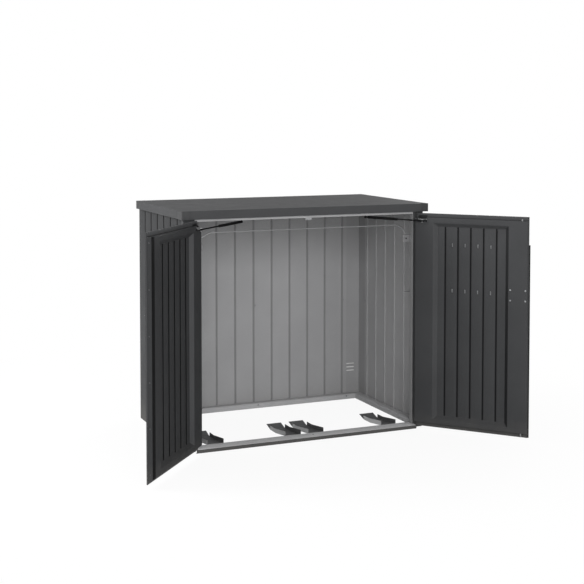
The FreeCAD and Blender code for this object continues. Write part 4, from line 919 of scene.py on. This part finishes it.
def liner_shell(slotted):
    """The grid, its kept quads and the folded sides as one open sheet."""
    d, z = liner_lines(slotted)
    n_d, n_z = len(d), len(z)
    dd, zz = np.meshgrid(d, z, indexing="ij")
    points = np.c_[dd.ravel(), liner_height(dd, zz).ravel(), zz.ravel()]
    i, j = np.meshgrid(np.arange(n_d - 1), np.arange(n_z - 1), indexing="ij")
    mid_d, mid_z = (d[i] + d[i + 1]) / 2, (z[j] + z[j + 1]) / 2
    keep = ~((mid_d < NOTCH_D + FOLD) & (mid_z > NOTCH_Z - FOLD))
    if slotted:
        in_d = (abs(mid_d[..., None] - SLOTS) < 4.0).any(-1)
        in_z = (abs(mid_z[..., None] - SLOT_ROWS) < 10.5).any(-1)
        keep &= ~(in_d & in_z)
    corner = i * n_z + j
    quads = np.stack([corner, corner + n_z, corner + n_z + 1, corner + 1], -1)[keep]

    at_d = {name: int(np.argmin(abs(d - v))) for name, v in
            (("low", D0 + FOLD), ("high", L1 - FOLD), ("notch", NOTCH_D + FOLD))}
    at_z = {name: int(np.argmin(abs(z - v))) for name, v in
            (("low", L_LOW + FOLD), ("high", L_HIGH - FOLD), ("notch", NOTCH_Z - FOLD))}
    stops = [(at_d["low"], at_z["low"]), (at_d["high"], at_z["low"]), (at_d["high"], at_z["high"]),
             (at_d["notch"], at_z["high"]), (at_d["notch"], at_z["notch"]), (at_d["low"], at_z["notch"])]
    loop = []
    for (a, b), (c, e) in zip(stops, stops[1:] + stops[:1]):
        count = max(abs(c - a), abs(e - b))
        steps = np.arange(count)[:, None] * np.sign([c - a, e - b])
        loop.append(np.array([a, b]) + steps)
    loop = np.vstack(loop).astype(int)
    rim = loop[:, 0] * n_z + loop[:, 1]
    flat = points[rim][:, [0, 2]]
    way = unit(np.roll(flat, -1, 0) - flat)
    before = np.roll(way, 1, 0)
    right, right_before = np.c_[way[:, 1], -way[:, 0]], np.c_[before[:, 1], -before[:, 0]]
    out = (right + right_before) / (1 + (right * right_before).sum(1, keepdims=True))
    turn = np.linspace(0, np.pi / 2, 6)[1:]
    profile = [(FOLD * np.sin(t), FACE - FOLD * (1 - np.cos(t))) for t in turn] + [(FOLD, L_BACK)]
    count = len(points)
    rings = [rim]
    for shift, height in profile:
        ring = flat + out * shift
        points = np.vstack([points, np.c_[ring[:, 0], np.full(len(ring), height), ring[:, 1]]])
        rings.append(np.arange(count, count + len(rim)))
        count += len(rim)
    fold = [np.c_[a, np.roll(a, -1), np.roll(b, -1), b] for a, b in zip(rings, rings[1:])]
    return points, quads.tolist() + np.vstack(fold)[:, ::-1].tolist()


print("grid lines along d and z, with slots:", [len(lines) for lines in liner_lines(True)])

# %% [markdown]
# ## From one face to a sheet
# The back of the sheet is the same surface again, 1 mm behind the front along the normals. A strip
# of quads joins the two along every free edge, so the cut slots show the real thickness of the
# steel.

# %% Pressed liners
def doubled(shell, thickness):
    """Front, back and edges of a pressed sheet. Points that no quad uses are dropped. A point's
    normal is the sum of its quads' cross products, made one long; the back point lies the
    thickness behind it. An edge that belongs to one quad only is a free edge and gets a quad from
    front to back."""
    points, faces = shell
    used, faces = np.unique(np.asarray(faces), return_inverse=True)
    points, faces = points[used], faces.reshape(-1, 4)
    corners = points[faces]
    square = np.cross(corners[:, 2] - corners[:, 0], corners[:, 3] - corners[:, 1])
    normal = np.zeros_like(points)
    for column in range(4):
        np.add.at(normal, faces[:, column], unit(square))
    normal = unit(normal) * np.sign((unit(square)[:, 1]).sum())
    count = len(points)
    edges = np.vstack([faces[:, [a, (a + 1) % 4]] for a in range(4)])
    first, times = np.unique(np.sort(edges, 1), axis=0, return_index=True, return_counts=True)[1:]
    free = edges[first[times == 1]]
    strip = np.c_[free[:, 1], free[:, 0], free[:, 0] + count, free[:, 1] + count]
    both = np.vstack([points, points - thickness * normal])
    return both, np.vstack([faces, faces[:, ::-1] + count, strip]).tolist()


for side, place, sign, slotted in (("left", on_left, -1, False), ("right", on_right, 1, True)):
    liner = put_mesh("pressed_%s_liner" % side, [doubled(liner_shell(slotted), 1.0)], place,
                     coats[side], body=side + "_door", sharp=40.0,
                     choose=lambda middles, normals: liner_part(middles, normals, sign))
    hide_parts(side + "_door_liner")
    print(side, "liner:", len(liner.data.vertices), "points")

# %% [markdown]
# ## What is fixed to the doors
# The left leaf carries a ribbed rubber strip and six blind rivets, the right leaf the overlap strip
# that covers the gap, the screws of the lock and, outside, the handle.

# %% Seal, overlap strip and rivets
rib = np.array([(-16, 43.1), (16, 43.1), (16, 43.7), (14.5, 44.4), (13, 43.9), (2.5, 43.9),
                (0, 44.6), (-2.5, 43.9), (-13, 43.9), (-14.5, 44.4), (-16, 43.7)]) + [630.4, 0]
seal = put_mesh("ribbed_seal", [slab(rib, L_LOW, L_HIGH, round_by=0.4)], on_left, [RUBBER],
                body="left_door")
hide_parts("left_door_seal")

strip_ring = [(630.9, 11.8), (630.9, 10.3), (656.9, 10.3), (656.9, 11.8)]
strip = put_mesh("flat_overlap_strip", [slab(strip_ring, DOOR_LOW, 1068.0, round_by=0.5)], on_right,
                 [STRIP], body="right_door")
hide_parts("overlap_strip")

rivet_profile = [(-3.2, 0.3), (-3.2, 1.8), (0, 1.8), (0, 4.0), (0.35, 4.0), (0.8, 3.4), (1.1, 2.4),
                 (1.2, 1.3), (0.75, 1.15), (0.75, 0.2)]
RIVET_N, RIVET_FIRST, RIVET_PITCH = 30.95, 70.3, 219.9
rivets = [turned(rivet_profile, (L1 + REST, RIVET_N, RIVET_FIRST + RIVET_PITCH * k), (1, 0, 0), 24)
          for k in range(6)]
rivet_heads = put_mesh("blind_rivets", rivets, on_left, [RIVET], body="left_door", sharp=50.0)
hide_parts("left_door_rivets")
print("rivets:", len(rivets))

# %% [markdown]
# ## Screws
# All screws are turned from one profile: shank, the flat under the head, a low dome and a socket.
# The wall screws hold the laps from inside, three more hold the rear floor rail, and four hold the
# lock to the liner. Two black ones fill the holes of the two clips that the bail leans against.

# %% Screws
def screw(seat, way, radius, height, shank, shank_radius=2.0):
    """A dome-headed screw whose head stands on its seat and points along the way."""
    s = np.array([-shank, -shank, REST, REST, REST + 0.25 * height, REST + 0.7 * height,
                  REST + 0.95 * height, REST + height, REST + 0.5 * height, REST + 0.5 * height])
    r = np.array([0.2, shank_radius, shank_radius, radius, 0.98 * radius, 0.84 * radius, 0.6 * radius,
                  0.38 * radius, 0.34 * radius, 0.05 * radius])
    return turned(np.c_[s, r], seat, way, 28)


SCREW_Z, PAST, BEHIND = 616.0, 10.0, 2.3
HEAD_R, HEAD_H, WALL_SHANK, RAIL_SHANK = 5.0, 1.8, 3.6, 7.0
side_screw = screw((HALF_W - BEHIND, LAST_SIDE + 21, SCREW_Z), (-1, 0, 0), HEAD_R, HEAD_H, WALL_SHANK)
back_screw = screw((LAST_BACK + PAST, DEPTH - BEHIND, SCREW_Z), (0, -1, 0), HEAD_R, HEAD_H, WALL_SHANK)
wall_screws = [side_screw, flipped(side_screw), back_screw, flipped(back_screw),
               screw((PAST, DEPTH - BEHIND, SCREW_Z), (0, -1, 0), HEAD_R, HEAD_H, WALL_SHANK)]
wall_screws += [screw((x, REAR_IN, 20), (0, -1, 0), HEAD_R, HEAD_H, RAIL_SHANK)
                for x in (PAST, LAST_BACK + PAST, -LAST_BACK - PAST)]
heads = put_mesh("dome_wall_screws", wall_screws, on_body, [GALVANISED], sharp=45.0)
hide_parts("panel_screws")
CLIP_X, CLIP_Y, CLIP_Z = 616.0, 25.9, 1071.5
stop = screw((CLIP_X, CLIP_Y, CLIP_Z), (0, -1, 0), 4.6, 1.5, 1.6)
put_mesh("bail_clip_stops", [stop, flipped(stop)], on_body, [BLACK], sharp=45.0)
LOCK_D, LOCK_Z, OUT_D, OUT_Z = 597.8, 795.0, 41.5, 28.0
lock_heads = [screw((LOCK_D + a * OUT_D, FACE, LOCK_Z + b * OUT_Z), (0, 1, 0), 5.5, 1.5, 4.0, 2.5)
              for a in (-1, 1) for b in (-1, 1)]
lock_heads = put_mesh("dome_lock_screws", lock_heads, on_right, [GALVANISED], body="right_door", sharp=45.0)
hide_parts("lock_screws")
print("screws and stops:", len(wall_screws) + 6)

# %% [markdown]
# ## Handle
# The lever outside is a flat bar with a round hub. Its outline is one closed curve: an arc of the
# hub, a straight run to the tip, the round tip, and back. The plate below it has rounded corners
# and a bevelled edge.

# %% Handle lever and plate
LEVER, HUB, TIP, LEVER_FRONT, BAR = 115.0, 14.0, 11.0, -2.9, 8.0
open_by = np.arcsin(TIP / HUB)
hub_turn = np.linspace(-np.pi + open_by, np.pi - open_by, 40)
hub_arc = np.c_[LOCK_D + HUB * np.cos(hub_turn), LOCK_Z + HUB * np.sin(hub_turn)]
tip_turn = np.linspace(np.pi / 2, 3 * np.pi / 2, 24)
tip_arc = np.c_[LOCK_D - LEVER + TIP * np.cos(tip_turn), LOCK_Z + TIP * np.sin(tip_turn)]
hub_turn = np.linspace(0, 2 * np.pi, 48, endpoint=False)
hub_ring = np.c_[LOCK_D + HUB * np.cos(hub_turn), LOCK_Z + HUB * np.sin(hub_turn)]
lever_bar = slab(np.vstack([hub_arc, tip_arc]), LEVER_FRONT, LEVER_FRONT + BAR, "xzy")
lever_hub = slab(hub_ring, LEVER_FRONT + 8.02, LEVER_FRONT + 10, "xzy")
lever = put_mesh("bar_handle_lever", [lever_bar, lever_hub], on_right, [BLACK], body="lock_handle",
                 bevel=1.6)
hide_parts("handle_lever")
PLATE_W, PLATE_H, PLATE_FRONT, PLATE_BACK = 30.0, 70.0, 7.8, 11.8
plate_ring = [(LOCK_D + a * PLATE_W, LOCK_Z + b * PLATE_H) for a, b in ((-1, -1), (1, -1), (1, 1), (-1, 1))]
plate_shell = slab(plate_ring, PLATE_FRONT, PLATE_BACK, "xzy", 6.0, 8)
plate = put_mesh("bevelled_handle_plate", [plate_shell], on_right, [BLACK], body="right_door", bevel=1.2)
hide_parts("handle_plate")
print("lever outline points:", len(hub_arc) + len(tip_arc))

# %% [markdown]
# ## Gas struts
# A gas strut is a black cylinder with a thinner rod, which is dark too in the photo. The cylinder
# hangs on a stud under the header, the rod ends in a socket on the door's ball stud. Everything
# round is turned about the line from the head to the ball. Seen from the door, the rod points one
# way when the door is open and another when it is closed. The socket is turned about the axis
# nearest to the upright that lets the rod swing from one to the other: the upright, less its part
# along the change of the rod's way.

# %% Where the strut points
head_point = np.array([-368.0, 42.0, 1199.0])
BALL_D, BALL_N, BALL_Z = 57.4, 57.8, 1180.0
ball_point = np.array([-HINGE_X + BALL_D * np.cos(OPEN) + BALL_N * np.sin(OPEN),
                       HINGE_Y - BALL_D * np.sin(OPEN) + BALL_N * np.cos(OPEN), BALL_Z])
strut_way = unit(ball_point - head_point)
strut_length = np.linalg.norm(ball_point - head_point)
turn_back = np.array([[np.cos(OPEN), np.sin(OPEN), 0], [-np.sin(OPEN), np.cos(OPEN), 0], [0, 0, 1]])
closed_way = turn_back @ unit(head_point - [-HINGE_X, HINGE_Y, 0] - [BALL_D, BALL_N, BALL_Z])
change = unit(-strut_way - closed_way)
socket_axis = unit(np.array([0, 0, 1.0]) - change * change[2])
print("strut length %.1f mm, socket axis %s" % (strut_length, socket_axis.round(3)))

# %% Gas struts
cylinder_profile = [(-7.4, 0.6), (-7.0, 2.6), (-5.3, 5.3), (-2.8, 7.0), (0, 7.5), (2.8, 7.0),
                    (5.4, 5.2), (11.9, 5.0), (12.3, 6.7), (13.4, 7.5), (170.5, 7.5), (171.5, 6.9),
                    (172.5, 7.4), (176, 7.3), (178, 6.2), (178, 4.1), (168, 4.08), (168, 6.0),
                    (30, 6.0), (30, 0.3)]
rod_profile = [(138, 0.3), (138, 5.9), (146, 5.9), (146, 4.0), (strut_length - 12, 4.0),
               (strut_length - 11.4, 4.6), (strut_length - 5.4, 4.7), (strut_length - 4.6, 0.4)]
socket_profile = [(-5.5, 3.1), (-5.5, 5.4), (-4.9, 6.0), (4.9, 6.0), (5.5, 5.4), (5.5, 3.1)]


def ring_solid(profile, start, way, sides=32):
    """A turned piece with a hole: the last ring joins the first, so there are no ends to close."""
    points, faces = turned(profile, start, way, sides)
    count = len(profile)
    quads = [face for face in faces if len(face) == 4]
    i = np.arange(sides)
    j = (i + 1) % sides
    last = (count - 1) * sides
    return points[:count * sides], quads + np.c_[last + i, last + j, j, i].tolist()


strut = {"strut_cylinder": ([turned(cylinder_profile, head_point, strut_way, 40),
                             turned([(5.5, 0.5), (5.5, 4.0), (8.0, 4.0), (8.4, 3.6), (8.4, 0.5)], head_point,
                                    (0, 0, 1), 28)], "strut_body"),
         "strut_rod": ([turned(rod_profile, head_point, strut_way, 32),
                        ring_solid(socket_profile, ball_point, socket_axis)], "strut_stem")}
for side in ("left", "right"):
    for name, (shells, body) in strut.items():
        placed = shells if side == "left" else [flipped(shell) for shell in shells]
        piece = put_mesh("turned_%s_%s" % (side, name), placed, on_body, [BLACK], body=side + "_" + body,
                         sharp=40.0)
        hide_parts(side + "_" + name)
        print(side, name, "points:", len(piece.data.vertices))

# %% [markdown]
# ## Lid bail
# The bail is one bent wire across the doorway. A bin's open lid leans against its bar. Its two
# ends turn in the posts.

# %% Lid bail
BAIL_Y, BAR_X, LEG_X, END_X = 31.0, 551.0, 605.0, 651.4
BAR_Z, SHOULDER_Z, PIVOT_Z, WIRE_R = 1149.0, 1120.5, 770.0, 3.0
right_half = [(BAR_X, BAR_Z), (LEG_X, SHOULDER_Z), (LEG_X, PIVOT_Z), (END_X, PIVOT_Z)]
bail_path = [(-x, BAIL_Y, z) for x, z in right_half[::-1]] + [(x, BAIL_Y, z) for x, z in right_half]
bail = put_mesh("bent_bail", [wire(bail_path, WIRE_R, 12.0, 20)], on_body, [BRIGHT_WIRE], body="bail",
                sharp=60.0)
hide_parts("lid_bail")
print("bail points:", len(bail.data.vertices))

# %% [markdown]
# ## Wheel cradles
# A bin is tipped back on its wheels and rolled over the sill, down a short ramp, until the wheels
# drop into a cradle. Each cradle is a ramped tray between two upright webs, dark inside and light
# on the outer faces and the underside.

# %% Wheel cradles
RAMP_START, RAMP_TOP, RAMP_END, TRAY_HALF, WEB_HALF = 44.3, 17.0, 182.0, 44.0, 46.0
ramp_path = [(RAMP_START, RAMP_TOP), (RAMP_END, 0.0), (270.0, 0.0), (325.0, 16.0)]
web_ring = [(RAMP_START, RAMP_TOP), (RAMP_END, 0.0), (266.0, 0.0), (266.0, 22.0), (202.0, 22.0),
            (RAMP_START, 42.0)]


def outer_web(middles, normals, x):
    """True on the outer faces of both webs and on the underside, which keep the light primer."""
    from_middle = middles[:, 0] - x
    outwards = normals[:, 0] * np.sign(from_middle) > 0.5
    return outwards & (abs(from_middle) > 0.045) | (normals[:, 2] < -0.4)


for number, x in enumerate((-518.0, -68.0, 68.0, 518.0), 1):
    shells = [sheet(ramp_path, 2.0, x - TRAY_HALF, x + TRAY_HALF, "yzx", 8.0),
              block(x - TRAY_HALF, x + TRAY_HALF, RAMP_START, RAMP_START + 2.0, 2.0, 16.6)]
    shells += [slab(web_ring, x + a, x + b, "yzx", 2.5)
               for a, b in ((-WEB_HALF, -TRAY_HALF), (TRAY_HALF, WEB_HALF))]
    cradle = put_mesh("ramped_cradle_%d" % number, shells, on_body, [CRADLE, BRIGHT_PRIMER],
                      lambda middles, normals: outer_web(middles, normals, x / 1000))
    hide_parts("wheel_cradle_%d" % number)
    print("cradle", number, "faces:", len(cradle.data.polygons))

# %% [markdown]
# ## Nodes that keep their shape
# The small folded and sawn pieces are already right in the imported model. They only get their
# finish, and a narrow bevel where a cut edge would otherwise be razor sharp.

# %% Finishes of the kept nodes
kept = {"left_top_rail": LIGHT, "right_top_rail": LIGHT, "rear_top_rail": LIGHT, "roof_stiffeners": LIGHT,
        "catch_plate": ZINC_PLATE, "bail_clips": CLIP_LIGHT, "hinge_frame_leaves": DARK,
        "hinge_pins": GALVANISED, "strut_header_brackets": ZINC_PLATE, "left_hinge_door_leaves": DARK,
        "right_hinge_door_leaves": DARK, "left_strut_door_bracket": HALF_PAINTED,
        "right_strut_door_bracket": HALF_PAINTED, "hook_rails": GALVANISED, "lock_plate": GALVANISED,
        "rod_guides": CAP_PLASTIC, "lock_disc": GALVANISED, "top_bolt_rod": BRIGHT_WIRE,
        "bottom_bolt_rod": BRIGHT_WIRE}
for name, paint in kept.items():
    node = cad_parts[name]
    for place in node.material_slots:
        place.link = "OBJECT"
        place.material = paint
for name in ("catch_plate", "bail_clips", "hinge_frame_leaves", "left_strut_door_bracket",
             "right_strut_door_bracket", "strut_header_brackets"):
    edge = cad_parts[name].modifiers.new("cut edge", "BEVEL")
    edge.width, edge.segments, edge.limit_method = 0.0003, 1, "ANGLE"
    edge.angle_limit = np.radians(60)
replaced = set(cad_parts) - set(kept)
print("nodes kept:", len(kept), "nodes replaced:", len(replaced))

# %% [markdown]
# ## Floor
# The picture was taken in front of pure white. The floor shows white to the camera but keeps some
# of the shadow, because near the store part of what the camera sees is ordinary white paint.

# %% Floor
bpy.ops.mesh.primitive_plane_add(size=60)
floor = bpy.context.object
floor.name = "floor"
floor.location.z = -0.0008
white = bpy.data.materials.new("white_floor")
white.use_nodes = True
nodes, links = white.node_tree.nodes, white.node_tree.links
nodes.remove(nodes["Principled BSDF"])
paint = nodes.new("ShaderNodeBsdfDiffuse")
paint.inputs["Color"].default_value = (0.80, 0.80, 0.80, 1)
glow = nodes.new("ShaderNodeEmission")
glow.inputs["Color"].default_value = (1, 1, 1, 1)
glow.inputs["Strength"].default_value = 1.0
ray = nodes.new("ShaderNodeLightPath")
where = nodes.new("ShaderNodeTexCoord")
distance = nodes.new("ShaderNodeVectorMath")
distance.operation = "LENGTH"
links.new(where.outputs["Object"], distance.inputs[0])
white_share = spread(nodes, links, distance.outputs["Value"], 1.0, 2.6, 0.92, 1.0)
share = nodes.new("ShaderNodeMath")
share.operation = "MULTIPLY"
links.new(ray.outputs["Is Camera Ray"], share.inputs[0])
links.new(white_share, share.inputs[1])
mix = nodes.new("ShaderNodeMixShader")
links.new(share.outputs["Value"], mix.inputs["Fac"])
links.new(paint.outputs["BSDF"], mix.inputs[1])
links.new(glow.outputs["Emission"], mix.inputs[2])
links.new(mix.outputs["Shader"], nodes["Material Output"].inputs["Surface"])
floor.data.materials.append(white)
print("floor at %.1f mm" % (floor.location.z * 1000))

# %% [markdown]
# ## Light
# The light comes from four soft squares: the key high on the left, one about half as strong in
# front on the left, a weak one in front on the right and one behind on the right. The room adds
# even light all round, and only the camera sees it as pure white.

# %% Light
world = bpy.context.scene.world or bpy.data.worlds.new("World")
bpy.context.scene.world = world
world.use_nodes = True
nodes, links = world.node_tree.nodes, world.node_tree.links
nodes.clear()
room = nodes.new("ShaderNodeBackground")
room.inputs["Color"].default_value = (1, 1, 1, 1)
room.inputs["Strength"].default_value = 0.58
seen = nodes.new("ShaderNodeBackground")
seen.inputs["Color"].default_value = (1, 1, 1, 1)
seen.inputs["Strength"].default_value = 1.0
ray = nodes.new("ShaderNodeLightPath")
mix = nodes.new("ShaderNodeMixShader")
output = nodes.new("ShaderNodeOutputWorld")
links.new(ray.outputs["Is Camera Ray"], mix.inputs["Fac"])
links.new(room.outputs["Background"], mix.inputs[1])
links.new(seen.outputs["Background"], mix.inputs[2])
links.new(mix.outputs["Shader"], output.inputs["Surface"])


def soft_light(name, place, target, size, watts):
    """A square area light that looks at its target."""
    data = bpy.data.lights.new(name, "AREA")
    data.size, data.energy = size, watts
    lamp = bpy.data.objects.new(name, data)
    bpy.context.collection.objects.link(lamp)
    way = np.array(target, float) - np.array(place, float)
    flat = np.hypot(way[0], way[1])
    lamp.location = place
    lamp.rotation_euler = (np.pi / 2 + np.arctan2(way[2], flat), 0, np.arctan2(-way[0], way[1]))
    return lamp


lamps = [soft_light("key", (-5.0, 1.4, 3.4), (-0.5, 0.0, 0.7), 2.4, 330),
         soft_light("left front", (-1.7, -5.9, 2.5), (0.0, 0.3, 0.6), 2.6, 175),
         soft_light("right front", (1.6, -6.0, 2.5), (-0.2, 0.3, 0.6), 2.6, 40),
         soft_light("rear", (4.6, 3.6, 1.5), (0.3, 0.2, 0.6), 2.4, 170)]
print("soft lights:", [lamp.name for lamp in lamps])

# %% [markdown]
# ## Camera
# The camera stands well back on the left and a little above the roof. The lens and the sideways
# turn were found from the straight edges of the picture: the walls' uprights stay upright in it,
# so the camera was held level and the picture cropped from the lower part of its field. Most of
# that is a lens shift here, the rest a small tilt.

# %% Camera
camera_data = bpy.data.cameras.new("camera")
camera_data.lens = 76.0
camera_data.sensor_width = 36.0
camera_data.shift_y = -0.20
camera_data.clip_end = 200.0
camera = bpy.data.objects.new("camera", camera_data)
bpy.context.collection.objects.link(camera)
camera.location = (-2.70411, -6.47264, 1.78698)
camera.rotation_euler = (np.pi / 2 - 0.05198, 0, -0.40614)
bpy.context.scene.camera = camera
bpy.context.scene.view_settings.view_transform = "Standard"
print("lens %.0f mm, %.2f m above the floor" % (camera_data.lens, camera.location.z))
